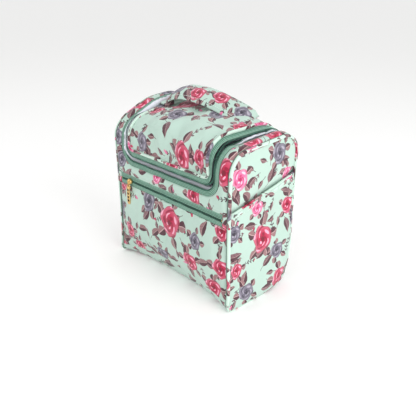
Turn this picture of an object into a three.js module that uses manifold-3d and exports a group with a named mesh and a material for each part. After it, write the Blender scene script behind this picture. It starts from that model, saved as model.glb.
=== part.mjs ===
// Hanging toiletry bag: a zipped, padded fabric bag with a U-shaped lid, a front pocket,
// two side pockets, a top handle and a fold-out hook.
// Millimetres. +Z up, +X along the width, the front faces -Y. The bag stands on z = 0.
import * as THREE from 'three';
import { mergeVertices } from 'three/addons/utils/BufferGeometryUtils.js';
import Module from 'manifold-3d';

const wasm = await Module();
wasm.setup();

// ---------------------------------------------------------------- driving dimensions
const WIDTH = 240;
const DEPTH = 122;
const FRONT_HEIGHT = 210;
const REAR_HEIGHT = 223;
const TOP_RADIUS = 28;
const BASE_RADIUS = 14;
const WALL = 3;
const GAP = 0.3;
const LINING = 0.8;

const PIPING_RADIUS = 2;
const POCKET_DEPTH = 7;
const POCKET_WALL = 2;
const SIDE_RECESS = 6;
const SIDE_POCKET_WALL = 2;
const HEM_FRONT_Z = 135;
const HEM_SLOPE = 0.24;
const HEM_HEIGHT = 8;

const TAPE_WIDTH = 5.5;
const TAPE_THICKNESS = 0.8;
const TAPE_DEPTH = 0.8;
const COIL_RADIUS = 0.9;
const ZIP_SPLIT = 1.2;
const ZIP_SEAT = TAPE_DEPTH + TAPE_THICKNESS / 2;

const POCKET_ZIP_Z = 126;
const POCKET_ZIP_HALF = 107;
const POCKET_SLIDER_PARK = 25;

const OPENING_HALF = 100;
const OPENING_FRONT_Z = 150;
const OPENING_RADIUS = 26;
const HINGE_Z = 150;
const HINGE_PROUD = 0.6;
const LID_AJAR_DEG = 2.5;
const LID_PIPING_RADIUS = 1.6;

const HANDLE_HALF_SPAN = 68;
const HANDLE_RISE = 24;
const HANDLE_WIDTH = 34;
const HANDLE_END_WIDTH = 14;
const HANDLE_THICKNESS = 5;
const HANDLE_Y = 15;
const HANDLE_LIFT = 5.4;

const HOOK_REST_DEG = 35;
const BEND_STEP = 7;
const CORNER_STEPS = 9;

// ---------------------------------------------------------------- materials
const PRINT_MINT = 0xc4e4d6;
const TAPE_GREEN = 0x7fae98;
const COIL_GREEN = 0x2e5a48;
const LINING_WHITE = 0xeef2fa;
const GOLD = 0xc9a060;
const MESH_GREY = 0xd5dade;
const PLASTIC_WHITE = 0xe8ebea;

const fabric = (colour) => new THREE.MeshStandardMaterial({ color: colour, roughness: 0.6, metalness: 0 });
const metal = (colour) => new THREE.MeshStandardMaterial({ color: colour, roughness: 0.3, metalness: 1 });
const plastic = (colour) => new THREE.MeshStandardMaterial({ color: colour, roughness: 0.45, metalness: 0 });

// The outline's straight and rounded pieces, numbered from the front going up and over.
const FRONT = 0;
const TOP = 2;
const REAR = 4;
const REAR_FOOT = 5;
const BASE = 6;

// ---------------------------------------------------------------- the side outline
// The bag's profile in the Y-Z plane: straight stretches joined by round corners. It starts at the
// foot of the front and runs up, over the top, down the back and along the base.
class Outline {
  constructor(corners) {
    this.pieces = [];
    const count = corners.length;
    const direction = (i) => {
      const from = corners[i % count];
      const to = corners[(i + 1) % count];
      return new THREE.Vector2(to.y - from.y, to.z - from.z).normalize();
    };
    const cut = corners.map((corner, i) => {
      const turn = direction(i + count - 1).angleTo(direction(i));
      return corner.radius * Math.tan(turn / 2);
    });
    for (let i = 0; i < count; i += 1) {
      const next = (i + 1) % count;
      const along = direction(i);
      const normal = new THREE.Vector2(-along.y, along.x);
      const start = new THREE.Vector2(corners[i].y, corners[i].z).addScaledVector(along, cut[i]);
      const end = new THREE.Vector2(corners[next].y, corners[next].z).addScaledVector(along, -cut[next]);
      this.pieces.push({ start, along, normal, length: start.distanceTo(end) });
      const radius = corners[next].radius;
      const turn = along.angleTo(direction(i + 1));
      const centre = end.clone().addScaledVector(normal, -radius);
      this.pieces.push({ centre, radius, from: normal.angle(), length: radius * turn });
    }
    this.length = this.pieces.reduce((sum, piece) => sum + piece.length, 0);
  }

  // Where a piece starts, as a distance along the outline.
  startOf(index) {
    return this.pieces.slice(0, index).reduce((sum, piece) => sum + piece.length, 0);
  }

  at(distance) {
    let left = ((distance % this.length) + this.length) % this.length;
    let index = 0;
    while (left > this.pieces[index].length && index < this.pieces.length - 1) {
      left -= this.pieces[index].length;
      index += 1;
    }
    const piece = this.pieces[index];
    if (piece.along) {
      const point = piece.start.clone().addScaledVector(piece.along, left);
      return { point, normal: piece.normal };
    }
    const angle = piece.from - left / piece.radius;
    const normal = new THREE.Vector2(Math.cos(angle), Math.sin(angle));
    return { point: piece.centre.clone().addScaledVector(normal, piece.radius), normal };
  }

  // The distance along the front where the height is z, and along the back likewise.
  frontAt(z) {
    return z - this.pieces[FRONT].start.y;
  }

  rearAt(z) {
    return this.startOf(REAR) + this.pieces[REAR].start.y - z;
  }
}

const outline = new Outline([
  { y: -DEPTH / 2, z: 0, radius: BASE_RADIUS },
  { y: -DEPTH / 2, z: FRONT_HEIGHT, radius: TOP_RADIUS },
  { y: DEPTH / 2, z: REAR_HEIGHT, radius: TOP_RADIUS },
  { y: DEPTH / 2, z: 0, radius: BASE_RADIUS },
]);
const straight = (from, to) => [FRONT, TOP, REAR, BASE].some((index) => {
  const start = outline.startOf(index);
  return from >= start && to <= start + outline.pieces[index].length;
});

// A point laid flat as (across, along the outline, outwards), carried onto the bag's outline.
function bend(geometry) {
  const position = geometry.attributes.position;
  for (let i = 0; i < position.count; i += 1) {
    const { point, normal } = outline.at(position.getY(i));
    const out = position.getZ(i);
    position.setXYZ(i, position.getX(i), point.x + normal.x * out, point.y + normal.y * out);
  }
  geometry.computeVertexNormals();
  return geometry;
}

// ---------------------------------------------------------------- shape helpers
function box(x, y, z) {
  const geometry = new THREE.BoxGeometry(x[1] - x[0], y[1] - y[0], z[1] - z[0]);
  return geometry.translate((x[0] + x[1]) / 2, (y[0] + y[1]) / 2, (z[0] + z[1]) / 2);
}

// A strip of the bag's wall: across x, between two distances along the outline, between two
// heights out of it.
function strip(x, along, out) {
  const length = along[1] - along[0];
  const steps = straight(along[0], along[1]) ? 1 : Math.ceil(length / BEND_STEP);
  const geometry = new THREE.BoxGeometry(x[1] - x[0], length, out[1] - out[0], 1, steps, 1);
  geometry.translate((x[0] + x[1]) / 2, (along[0] + along[1]) / 2, (out[0] + out[1]) / 2);
  return bend(geometry);
}

function toSolid(geometry) {
  const bare = geometry.clone();
  bare.deleteAttribute('normal');
  bare.deleteAttribute('uv');
  const welded = mergeVertices(bare, 1e-4);
  const mesh = new wasm.Mesh({
    numProp: 3,
    vertProperties: new Float32Array(welded.attributes.position.array),
    triVerts: new Uint32Array(welded.index.array),
  });
  return new wasm.Manifold(mesh);
}

function fromSolid(solid) {
  const mesh = solid.getMesh();
  const geometry = new THREE.BufferGeometry();
  geometry.setAttribute('position', new THREE.BufferAttribute(mesh.vertProperties, 3));
  geometry.setIndex(new THREE.BufferAttribute(mesh.triVerts, 1));
  geometry.computeVertexNormals();
  return geometry;
}

const join = (...shapes) => fromSolid(shapes.map(toSolid).reduce((sum, next) => sum.add(next)));
const cutAway = (body, ...tools) => fromSolid(
  tools.map(toSolid).reduce((sum, next) => sum.subtract(next), toSolid(body)),
);
const keepInside = (body, tool) => fromSolid(toSolid(body).intersect(toSolid(tool)));

// Turns a shape drawn in the Y-Z plane and extruded along its own Z to run along X.
const profileToWorld = new THREE.Matrix4().makeBasis(
  new THREE.Vector3(0, 1, 0),
  new THREE.Vector3(0, 0, 1),
  new THREE.Vector3(1, 0, 0),
);

function plateAcross(points, x) {
  const shape = new THREE.Shape(points);
  const geometry = new THREE.ExtrudeGeometry(shape, { depth: x[1] - x[0], bevelEnabled: false });
  return geometry.applyMatrix4(profileToWorld).translate(x[0], 0, 0);
}

// The outline moved inwards, as points: a few round each corner and none along the straights.
function outlinePoints(inset) {
  const points = [];
  outline.pieces.forEach((piece, index) => {
    const steps = piece.along ? 1 : CORNER_STEPS;
    const start = outline.startOf(index);
    for (let i = 0; i < steps; i += 1) {
      const { point, normal } = outline.at(start + (piece.length * i) / steps + 1e-6);
      points.push(point.clone().addScaledVector(normal, -inset));
    }
  });
  return points.reverse();
}

function ringSection(radius, sides) {
  const shape = new THREE.Shape();
  for (let i = 0; i < sides; i += 1) {
    const angle = (2 * Math.PI * i) / sides;
    const point = [radius * Math.cos(angle), radius * Math.sin(angle)];
    if (i === 0) shape.moveTo(...point);
    else shape.lineTo(...point);
  }
  shape.closePath();
  return shape;
}

function rectSection(x, y) {
  return new THREE.Shape([
    new THREE.Vector2(x[0], y[0]),
    new THREE.Vector2(x[1], y[0]),
    new THREE.Vector2(x[1], y[1]),
    new THREE.Vector2(x[0], y[1]),
  ]);
}

// A path whose steps fall where its own getPoint puts them.
class SteppedPath extends THREE.Curve {
  getPointAt(t, target) {
    return this.getPoint(t, target);
  }

  getTangentAt(t, target) {
    return this.getTangent(t, target);
  }
}

function sweep(section, path, steps) {
  return new THREE.ExtrudeGeometry(section, { steps, extrudePath: path, bevelEnabled: false });
}

function rod(from, to, radius, sides = 10) {
  const axis = new THREE.Vector3().subVectors(to, from);
  const geometry = new THREE.CylinderGeometry(radius, radius, axis.length(), sides);
  geometry.applyQuaternion(new THREE.Quaternion().setFromUnitVectors(
    new THREE.Vector3(0, 1, 0),
    axis.clone().normalize(),
  ));
  const middle = new THREE.Vector3().addVectors(from, to).multiplyScalar(0.5);
  return geometry.translate(middle.x, middle.y, middle.z);
}

const bag = new THREE.Group();
function add(name, geometry, material, parent = bag) {
  const mesh = new THREE.Mesh(geometry, material);
  mesh.name = name;
  parent.add(mesh);
  return mesh;
}
const mirrored = (x, side) => (side > 0 ? x : [-x[1], -x[0]]);
const SIDES = [['left', -1], ['right', 1]];

// ---------------------------------------------------------------- widths across the bag
const STRIP_HALF = WIDTH / 2 - 2 * PIPING_RADIUS - GAP;
const POCKET_PLATE = [WIDTH / 2 - SIDE_POCKET_WALL - 0.5, WIDTH / 2 - 0.5];
const SIDE_PANEL = [POCKET_PLATE[0] - SIDE_RECESS - WALL, POCKET_PLATE[0] - SIDE_RECESS];
const SIDE_LINING = [SIDE_PANEL[0] - GAP - LINING, SIDE_PANEL[0] - GAP];
const INNER_HALF = SIDE_LINING[0] - GAP;
const EDGE_INSET = 2 * PIPING_RADIUS + GAP;

// ---------------------------------------------------------------- walls of the body
const zipReach = ZIP_SPLIT / 2 + 2 * COIL_RADIUS + GAP + TAPE_WIDTH;
const pocketZipFoot = POCKET_ZIP_Z - zipReach;
const pocketZipHead = POCKET_ZIP_Z + zipReach;
const frontFoot = outline.startOf(FRONT);
const openingFront = outline.frontAt(OPENING_FRONT_Z);
const openingRear = outline.rearAt(HINGE_Z);
const cornerTop = openingFront + OPENING_RADIUS;

// The U-shaped opening laid flat: rows along the outline, narrowing round the front corners.
function openingPlate(inset, out) {
  const radius = OPENING_RADIUS - inset;
  const half = OPENING_HALF - inset;
  const foot = openingFront + inset;
  const rows = [];
  const turns = 6;
  for (let i = 0; i <= turns; i += 1) {
    const angle = (Math.PI / 2) * (i / turns);
    rows.push({ along: foot + radius * (1 - Math.cos(angle)), half: half - radius * (1 - Math.sin(angle)) });
  }
  const start = foot + radius;
  const count = Math.ceil((openingRear - GAP - start) / BEND_STEP);
  for (let i = 1; i <= count; i += 1) {
    rows.push({ along: start + ((openingRear - GAP - start) * i) / count, half });
  }
  const geometry = new THREE.BoxGeometry(2, rows.length - 1, out[1] - out[0], 1, rows.length - 1, 1);
  const position = geometry.attributes.position;
  for (let i = 0; i < position.count; i += 1) {
    const row = rows[Math.round(position.getY(i) + (rows.length - 1) / 2)];
    position.setXYZ(i, position.getX(i) * row.half, row.along, position.getZ(i) + (out[0] + out[1]) / 2);
  }
  return bend(geometry);
}

function buildWalls() {
  const print = fabric(PRINT_MINT);
  const wall = [-WALL, 0];
  const full = [-STRIP_HALF, STRIP_HALF];
  const rearTop = outline.rearAt(HINGE_Z - GAP);
  const pocketAlong = [frontFoot + GAP, outline.frontAt(pocketZipFoot - GAP)];
  add('front_pocket_panel', strip(full, pocketAlong, wall), print);
  add('bottom_panel', strip(full, [outline.startOf(REAR_FOOT), outline.length], wall), print.clone());
  add('back_panel', strip(full, [rearTop, outline.startOf(REAR_FOOT) - GAP], wall), print.clone());
  const upper = strip(full, [outline.frontAt(pocketZipHead + GAP), cornerTop], wall);
  add('front_upper_panel', cutAway(upper, openingPlate(0, [-2 * WALL, 2 * WALL])), print.clone());
  for (const [side, sign] of SIDES) {
    const rim = mirrored([OPENING_HALF, STRIP_HALF], sign);
    add(`top_rim_${side}`, strip(rim, [cornerTop + GAP, openingRear - GAP], wall), print.clone());
    const tab = mirrored([POCKET_ZIP_HALF + GAP, STRIP_HALF], sign);
    const tabAlong = [outline.frontAt(pocketZipFoot), outline.frontAt(pocketZipHead)];
    add(`pocket_zip_tab_${side}`, strip(tab, tabAlong, wall), print.clone());
  }
}

// The main compartment's true front wall, behind the front pocket.
const pocketWallY = -DEPTH / 2 + WALL + POCKET_DEPTH;

const BOARD_THICKNESS = 1.5;
const POCKET_WALL_FOOT = 4;
const RIM_DROP = 2;
const ELASTIC_HALF = 90;
const ELASTIC_Z = [70, 95];
const ELASTIC_THICKNESS = 1.2;

function buildInside() {
  const white = fabric(LINING_WHITE);
  const across = [-INNER_HALF, INNER_HALF];
  const floorTop = WALL + GAP + BOARD_THICKNESS;
  const boardY = [-DEPTH / 2 + BASE_RADIUS, DEPTH / 2 - BASE_RADIUS];
  add('base_board', box(across, boardY, [WALL + GAP, floorTop]), plastic(PLASTIC_WHITE));
  const wallFoot = floorTop + GAP + POCKET_WALL_FOOT;
  const wallHead = OPENING_FRONT_Z - RIM_DROP;
  const wallY = [pocketWallY, pocketWallY + POCKET_WALL];
  add('pocket_back_wall', box(across, wallY, [wallFoot, wallHead]), white);
  const frontLining = [wallY[1] + GAP, wallY[1] + GAP + LINING];
  const rearLining = [DEPTH / 2 - WALL - GAP - LINING, DEPTH / 2 - WALL - GAP];
  const floor = [floorTop + GAP, floorTop + GAP + LINING];
  const rise = [BASE_RADIUS, wallHead - GAP];
  add('lining_floor', box(across, boardY, floor), white.clone());
  add('lining_front', box(across, frontLining, rise), white.clone());
  add('lining_back', box(across, rearLining, rise), white.clone());
  for (const [side, sign] of SIDES) {
    add(`lining_${side}`, plateAcross(outlinePoints(EDGE_INSET), mirrored(SIDE_LINING, sign)), white.clone());
  }
  const band = [frontLining[1] + GAP, frontLining[1] + GAP + ELASTIC_THICKNESS];
  add('bottle_elastic', box([-ELASTIC_HALF, ELASTIC_HALF], band, ELASTIC_Z), fabric(MESH_GREY));
}

// ---------------------------------------------------------------- sides
const hemAt = (y) => HEM_FRONT_Z + HEM_SLOPE * (y + DEPTH / 2);

// The distances between two places on the outline, close together only round the corners.
function outlineStations(from, to) {
  const stations = [from];
  const pieces = outline.pieces.length;
  for (let turn = 0; turn < 2 * pieces; turn += 1) {
    const piece = outline.pieces[turn % pieces];
    const start = outline.startOf(turn % pieces) + (turn >= pieces ? outline.length : 0);
    const steps = piece.along ? 1 : CORNER_STEPS;
    for (let i = 0; i < steps; i += 1) {
      const place = start + (piece.length * i) / steps;
      if (place > from + 1 && place < to - 1) stations.push(place);
    }
  }
  stations.push(to);
  return stations;
}

class OutlinePath extends SteppedPath {
  constructor(x, inset, stations) {
    super();
    Object.assign(this, { x, inset, stations });
  }

  getPoint(t, target = new THREE.Vector3()) {
    const place = t * (this.stations.length - 1);
    const index = Math.min(Math.floor(place), this.stations.length - 2);
    const distance = THREE.MathUtils.lerp(this.stations[index], this.stations[index + 1], place - index);
    const { point, normal } = outline.at(distance);
    return target.set(this.x, point.x - normal.x * this.inset, point.y - normal.y * this.inset);
  }
}

const HEM_LAP = 0.4;
const GUSSET_THICKNESS = 2;
const PIPING_SEAM = 20;

function buildSides() {
  const print = fabric(PRINT_MINT);
  const beyond = DEPTH;
  const hemAngle = Math.atan(HEM_SLOPE);
  for (const [side, sign] of SIDES) {
    const panel = plateAcross(outlinePoints(EDGE_INSET), mirrored(SIDE_PANEL, sign));
    add(`side_panel_${side}`, panel, print.clone());
    const plate = plateAcross(outlinePoints(EDGE_INSET), mirrored(POCKET_PLATE, sign));
    const belowHem = plateAcross([
      new THREE.Vector2(-beyond, -1),
      new THREE.Vector2(beyond, -1),
      new THREE.Vector2(beyond, hemAt(beyond)),
      new THREE.Vector2(-beyond, hemAt(-beyond)),
    ], [-WIDTH, WIDTH]);
    add(`side_pocket_${side}`, keepInside(plate, belowHem), print.clone());
    const hemHalf = DEPTH / 2 - EDGE_INSET - 1;
    const hemX = mirrored([POCKET_PLATE[0] - HEM_LAP, POCKET_PLATE[1]], sign);
    const hem = box(hemX, [-hemHalf, hemHalf], [GAP, HEM_HEIGHT]);
    hem.rotateX(hemAngle).translate(0, 0, hemAt(0));
    add(`side_pocket_hem_${side}`, hem, print.clone());
    const gussetX = mirrored([SIDE_PANEL[1] + GAP, POCKET_PLATE[0] - GAP], sign);
    const from = outline.rearAt(hemAt(DEPTH / 2));
    const to = outline.length + outline.frontAt(HEM_FRONT_Z);
    const gusset = strip(gussetX, [from, to], [-EDGE_INSET - GUSSET_THICKNESS, -EDGE_INSET]);
    add(`side_pocket_gusset_${side}`, gusset, print.clone());
    const seam = outline.startOf(BASE) + PIPING_SEAM;
    const stations = outlineStations(seam, seam + outline.length - 1);
    const path = new OutlinePath(sign * (WIDTH / 2 - PIPING_RADIUS), PIPING_RADIUS, stations);
    const piping = sweep(ringSection(PIPING_RADIUS, 6), path, stations.length - 1);
    add(`side_piping_${side}`, piping, print.clone());
  }
}

// ---------------------------------------------------------------- zips
// A U laid flat: down the left edge of the lid, round the front and up the right edge.
const LEG_STEPS = 34;
const ARC_STEPS = 7;
const FRONT_STEPS = 2;
const OPENING_STEPS = 2 * LEG_STEPS + 2 * ARC_STEPS + FRONT_STEPS;

class OpeningPath extends SteppedPath {
  constructor(inset) {
    super();
    this.radius = OPENING_RADIUS - inset;
    this.half = OPENING_HALF - inset;
    this.foot = openingFront + inset;
    this.leg = openingRear - GAP - (this.foot + this.radius);
  }

  getPoint(t, target = new THREE.Vector3()) {
    const side = t > 0.5 ? 1 : -1;
    const step = OPENING_STEPS * (t > 0.5 ? 1 - t : t);
    const centre = this.foot + this.radius;
    if (step < LEG_STEPS) {
      return target.set(side * this.half, centre + this.leg * (1 - step / LEG_STEPS), 0);
    }
    if (step < LEG_STEPS + ARC_STEPS) {
      const angle = (Math.PI / 2) * ((step - LEG_STEPS) / ARC_STEPS);
      const x = this.half - this.radius * (1 - Math.cos(angle));
      return target.set(side * x, centre - this.radius * Math.sin(angle), 0);
    }
    const share = (step - LEG_STEPS - ARC_STEPS) / (FRONT_STEPS / 2);
    return target.set(side * (this.half - this.radius) * (1 - share), this.foot, 0);
  }
}

const bodyTapeInset = GAP + TAPE_WIDTH;
const bodyCoilInset = bodyTapeInset + GAP + COIL_RADIUS;
const lidCoilInset = bodyCoilInset + 2 * COIL_RADIUS + ZIP_SPLIT;
const lidTapeInset = lidCoilInset + COIL_RADIUS + GAP + TAPE_WIDTH;
const lidPipingInset = lidTapeInset + GAP + LID_PIPING_RADIUS;
const lidPanelInset = lidPipingInset + LID_PIPING_RADIUS + GAP;
const tapeRise = [TAPE_DEPTH, TAPE_DEPTH + TAPE_THICKNESS];

// The section's x runs into the bag and its y runs towards the middle of the U.
function openingTape(inset) {
  return bend(sweep(rectSection(tapeRise, [-TAPE_WIDTH, 0]), new OpeningPath(inset), OPENING_STEPS));
}

function openingCord(inset, radius) {
  const cord = sweep(ringSection(radius, 6), new OpeningPath(inset), OPENING_STEPS);
  return bend(cord.translate(0, 0, -ZIP_SEAT));
}

const STOP_X = [1, 2.6];
const STOP_OUT = 0.4;
const STOP_IN = 2.4;
const STOP_HALF = 2;
const COIL_SHORT = 3;

function buildPocketZip() {
  const half = POCKET_ZIP_HALF;
  const edge = ZIP_SPLIT / 2 + 2 * COIL_RADIUS + GAP;
  const out = [-tapeRise[1], -tapeRise[0]];
  for (const [level, sign] of [['lower', -1], ['upper', 1]]) {
    const rises = mirrored([edge, edge + TAPE_WIDTH], sign);
    const tape = rises.map((rise) => outline.frontAt(POCKET_ZIP_Z + rise));
    add(`pocket_zip_tape_${level}`, strip([-half, half], tape, out), fabric(TAPE_GREEN));
    const z = POCKET_ZIP_Z + sign * (ZIP_SPLIT / 2 + COIL_RADIUS);
    const y = -DEPTH / 2 + ZIP_SEAT;
    const coilEnd = half - COIL_SHORT;
    const coil = rod(new THREE.Vector3(-coilEnd, y, z), new THREE.Vector3(coilEnd, y, z), COIL_RADIUS, 8);
    add(`pocket_zip_coil_${level}`, coil, fabric(COIL_GREEN));
  }
  for (const [side, sign] of SIDES) {
    const stopX = mirrored([half - STOP_X[1], half - STOP_X[0]], sign);
    const stopY = [-DEPTH / 2 - STOP_OUT, -DEPTH / 2 + STOP_IN];
    const stop = box(stopX, stopY, [POCKET_ZIP_Z - STOP_HALF, POCKET_ZIP_Z + STOP_HALF]);
    add(`pocket_zip_stop_${side}`, stop, metal(GOLD));
  }
}

// ---------------------------------------------------------------- sliders and pulls
const SLIDER_PLATE = 1.7;
const SLIDER_UNDERPLATE = 1.2;
const SLIDER_CLEAR = 0.4;
const SLIDER_ROOT = 0.5;
const SLIDER_LENGTH = 9;
const SLIDER_HALF = 4.2;
const POST_HALF = ZIP_SPLIT / 2 - GAP;
const EYE_OUT = 4.4;
const EYE_HOLE = 1.5;
const EYE_HALF = 1.5;
const EYE_HEAD = 2.1;
const EYE_REACH = 3;
const LINK_RADIUS = 4;
const LINK_WIRE = 0.7;
const RIVET_DROP = 11;
const LEAF_LENGTH = 30;
const LEAF_WIDTH = 6.4;
const LEAF_THICKNESS = 1.4;

// A zip slider with its face to -Y and its eye at the origin: two plates, and a post that passes
// between the two coils. Plates and post are each given by their reach in X and in Z.
function sliderShape(plates, post) {
  const face = EYE_OUT - SLIDER_CLEAR;
  const under = EYE_OUT + ZIP_SEAT + COIL_RADIUS + SLIDER_CLEAR;
  const top = box(plates.x, [face - SLIDER_PLATE, face], plates.z);
  const bottom = box(plates.x, [under, under + SLIDER_UNDERPLATE], plates.z);
  const web = box(post.x, [face - SLIDER_ROOT, under + SLIDER_ROOT], post.z);
  const eye = box([-EYE_HALF, EYE_HALF], [-EYE_HEAD, face - SLIDER_ROOT], [-EYE_REACH, EYE_REACH]);
  const hole = rod(new THREE.Vector3(-EYE_REACH, 0, 0), new THREE.Vector3(EYE_REACH, 0, 0), EYE_HOLE, 12);
  return cutAway(join(top, bottom, web, eye), hole);
}

// The link hangs from the slider's eye and ends in a rivet that the leaf turns on.
function linkShape() {
  const ring = new THREE.TorusGeometry(LINK_RADIUS, LINK_WIRE, 6, 18);
  ring.rotateX(Math.PI / 2).translate(0, 0, -LINK_RADIUS);
  const shank = rod(
    new THREE.Vector3(0, 0, -2 * LINK_RADIUS),
    new THREE.Vector3(0, 0, -RIVET_DROP),
    0.8,
    8,
  );
  const rivet = rod(new THREE.Vector3(0, -2.2, -RIVET_DROP), new THREE.Vector3(0, 0.8, -RIVET_DROP), 0.9, 8);
  const head = rod(new THREE.Vector3(0, -2.9, -RIVET_DROP), new THREE.Vector3(0, -2.1, -RIVET_DROP), 1.7, 10);
  return join(ring, shank, rivet, head);
}

const LEAF_Y = [-1.9, -1.9 + 0.8];

function leafShape(length) {
  const outlineShape = new THREE.Shape();
  const half = LEAF_WIDTH / 2;
  outlineShape.moveTo(0, 3);
  outlineShape.quadraticCurveTo(half, 2, half * 0.8, -3);
  outlineShape.quadraticCurveTo(half * 1.3, -length * 0.6, 0, -length);
  outlineShape.quadraticCurveTo(-half * 1.3, -length * 0.6, -half * 0.8, -3);
  outlineShape.quadraticCurveTo(-half, 2, 0, 3);
  const depth = LEAF_Y[1] - LEAF_Y[0];
  const plate = new THREE.ExtrudeGeometry(outlineShape, { depth, bevelEnabled: false, curveSegments: 6 });
  plate.rotateX(Math.PI / 2).translate(0, LEAF_Y[1], -RIVET_DROP);
  const bore = rod(new THREE.Vector3(0, -4, -RIVET_DROP), new THREE.Vector3(0, 2, -RIVET_DROP), 1.25, 10);
  const slots = [0.32, 0.5, 0.68].map((share) => {
    const z = -RIVET_DROP - length * share;
    return box([-1, 1], [-4, 2], [z - 1.4, z + 1.4]);
  });
  return cutAway(plate, bore, ...slots);
}

const gold = () => metal(GOLD);

function buildPocketPull() {
  const station = new THREE.Group();
  station.position.set(-POCKET_ZIP_HALF + POCKET_SLIDER_PARK, -DEPTH / 2 - EYE_OUT, POCKET_ZIP_Z);
  const plates = { x: [-SLIDER_LENGTH / 2, SLIDER_LENGTH / 2], z: [-SLIDER_HALF, SLIDER_HALF] };
  const post = { x: [-SLIDER_LENGTH / 4, SLIDER_LENGTH / 4], z: [-POST_HALF, POST_HALF] };
  add('pocket_slider', sliderShape(plates, post), gold(), station);
  add('pocket_pull_link', linkShape(), gold(), station);
  add('pocket_pull_leaf', leafShape(LEAF_LENGTH), gold(), station);
  bag.add(station);
}

// The lid's two sliders are parked at the ends of the U on the back, outside the lid's own edge.
const SLIDER_OFFSET = 4.2;
const LID_SLIDER_REACH = 3.4;
const LID_POST_HALF = 2;
const LID_SLIDER_RISE = 6;

function buildLidSliders() {
  const postX = OPENING_HALF - bodyCoilInset - COIL_RADIUS - ZIP_SPLIT / 2;
  for (const [side, sign] of SIDES) {
    const station = new THREE.Group();
    station.position.set(sign * (postX + SLIDER_OFFSET), DEPTH / 2 + EYE_OUT, HINGE_Z + LID_SLIDER_RISE);
    const turned = new THREE.Group();
    turned.rotation.z = Math.PI;
    // Its plates reach from the post outwards over the body's coil only.
    const plates = {
      x: mirrored([-LID_SLIDER_REACH, SLIDER_OFFSET + POST_HALF], sign),
      z: [-SLIDER_LENGTH / 2, SLIDER_LENGTH / 2],
    };
    const post = {
      x: [sign * SLIDER_OFFSET - POST_HALF, sign * SLIDER_OFFSET + POST_HALF],
      z: [-LID_POST_HALF, LID_POST_HALF],
    };
    add(`lid_slider_${side}`, sliderShape(plates, post), gold(), turned);
    add(`lid_pull_link_${side}`, linkShape(), gold(), turned);
    add(`lid_pull_leaf_${side}`, leafShape(LEAF_LENGTH), gold(), turned);
    station.add(turned);
    bag.add(station);
  }
}

// ---------------------------------------------------------------- lid and handle
// The lid's pieces are drawn closed, in the bag's frame, and the whole lid is then turned a
// little open about its hinge at the back.
const hinge = new THREE.Vector3(0, DEPTH / 2 + HINGE_PROUD, HINGE_Z);
const lid = new THREE.Group();
const lidShift = new THREE.Group();
lid.position.copy(hinge);
lid.rotation.x = -THREE.MathUtils.degToRad(LID_AJAR_DEG);
lidShift.position.copy(hinge).negate();
lid.add(lidShift);
bag.add(lid);

// The distance along the outline of a place on the top at the given y.
function topAt(y) {
  const piece = outline.pieces[TOP];
  return outline.startOf(TOP) + (y - piece.start.x) / piece.along.x;
}

const LID_LINING_INSET = 2;
const NET_DROP = 5;
const NET_THICKNESS = 0.5;
const NET_HALF = 70;
const NET_Y = [-28, 24];
const BINDING_WIDTH = 6;
const BINDING_PROUD = 0.6;
const TAB_X = [HANDLE_HALF_SPAN - 14, HANDLE_HALF_SPAN + 6];
const TAB_THICKNESS = 1.5;

function buildLid() {
  const print = fabric(PRINT_MINT);
  const put = (name, geometry, material) => add(name, geometry, material, lidShift);
  put('lid_panel', openingPlate(lidPanelInset, [-WALL, 0]), print);
  const liningOut = [-WALL - GAP - LINING, -WALL - GAP];
  put('lid_lining', openingPlate(lidPanelInset + LID_LINING_INSET, liningOut), fabric(LINING_WHITE));
  put('lid_piping', openingCord(lidPipingInset, LID_PIPING_RADIUS), print.clone());
  put('lid_zip_tape', openingTape(lidTapeInset), fabric(TAPE_GREEN));
  put('lid_zip_coil', openingCord(lidCoilInset, COIL_RADIUS), fabric(COIL_GREEN));
  const netTop = -WALL - GAP - LINING - NET_DROP;
  const netAcross = [-NET_HALF, NET_HALF];
  const netOut = [netTop - NET_THICKNESS, netTop];
  put('lid_mesh_pocket', strip(netAcross, [topAt(NET_Y[0]), topAt(NET_Y[1])], netOut), fabric(MESH_GREY));
  const bindingAlong = [topAt(NET_Y[1]) + GAP, topAt(NET_Y[1] + BINDING_WIDTH)];
  const bindingOut = [netOut[0] - BINDING_PROUD, netOut[1] + BINDING_PROUD];
  put('lid_mesh_binding', strip(netAcross, bindingAlong, bindingOut), fabric(TAPE_GREEN));
  for (const [side, sign] of SIDES) {
    const along = [topAt(HANDLE_Y - HANDLE_WIDTH / 2), topAt(HANDLE_Y + HANDLE_WIDTH / 2)];
    put(`handle_tab_${side}`, strip(mirrored(TAB_X, sign), along, [GAP, GAP + TAB_THICKNESS]), print.clone());
  }
}

function buildHandle() {
  const steps = 20;
  const geometry = new THREE.BoxGeometry(2, 1, HANDLE_THICKNESS, steps, 1, 1);
  const position = geometry.attributes.position;
  const base = outline.at(topAt(HANDLE_Y));
  const slope = Math.atan2(-base.normal.x, base.normal.y);
  for (let i = 0; i < position.count; i += 1) {
    const t = position.getX(i);
    const swell = 1 - t ** 4;
    const width = THREE.MathUtils.lerp(HANDLE_END_WIDTH, HANDLE_WIDTH, Math.min(1, 2.2 * (1 - Math.abs(t))));
    const rise = HANDLE_LIFT + HANDLE_THICKNESS / 2 + HANDLE_RISE * swell;
    position.setXYZ(i, t * HANDLE_HALF_SPAN, position.getY(i) * width, position.getZ(i) + rise);
  }
  geometry.computeVertexNormals();
  geometry.rotateX(-slope).translate(0, base.point.x, base.point.y);
  add('handle_strap', geometry, fabric(PRINT_MINT), lidShift);
}

function buildOpeningZip() {
  add('body_zip_tape', openingTape(bodyTapeInset), fabric(TAPE_GREEN));
  add('body_zip_coil', openingCord(bodyCoilInset, COIL_RADIUS), fabric(COIL_GREEN));
}

// ---------------------------------------------------------------- fold-out hook
const STRAP_LENGTH = 30;
const STRAP_WIDTH = 20;
const HOOK_RADIUS = 14;
const HOOK_WIRE = 2.4;

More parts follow.
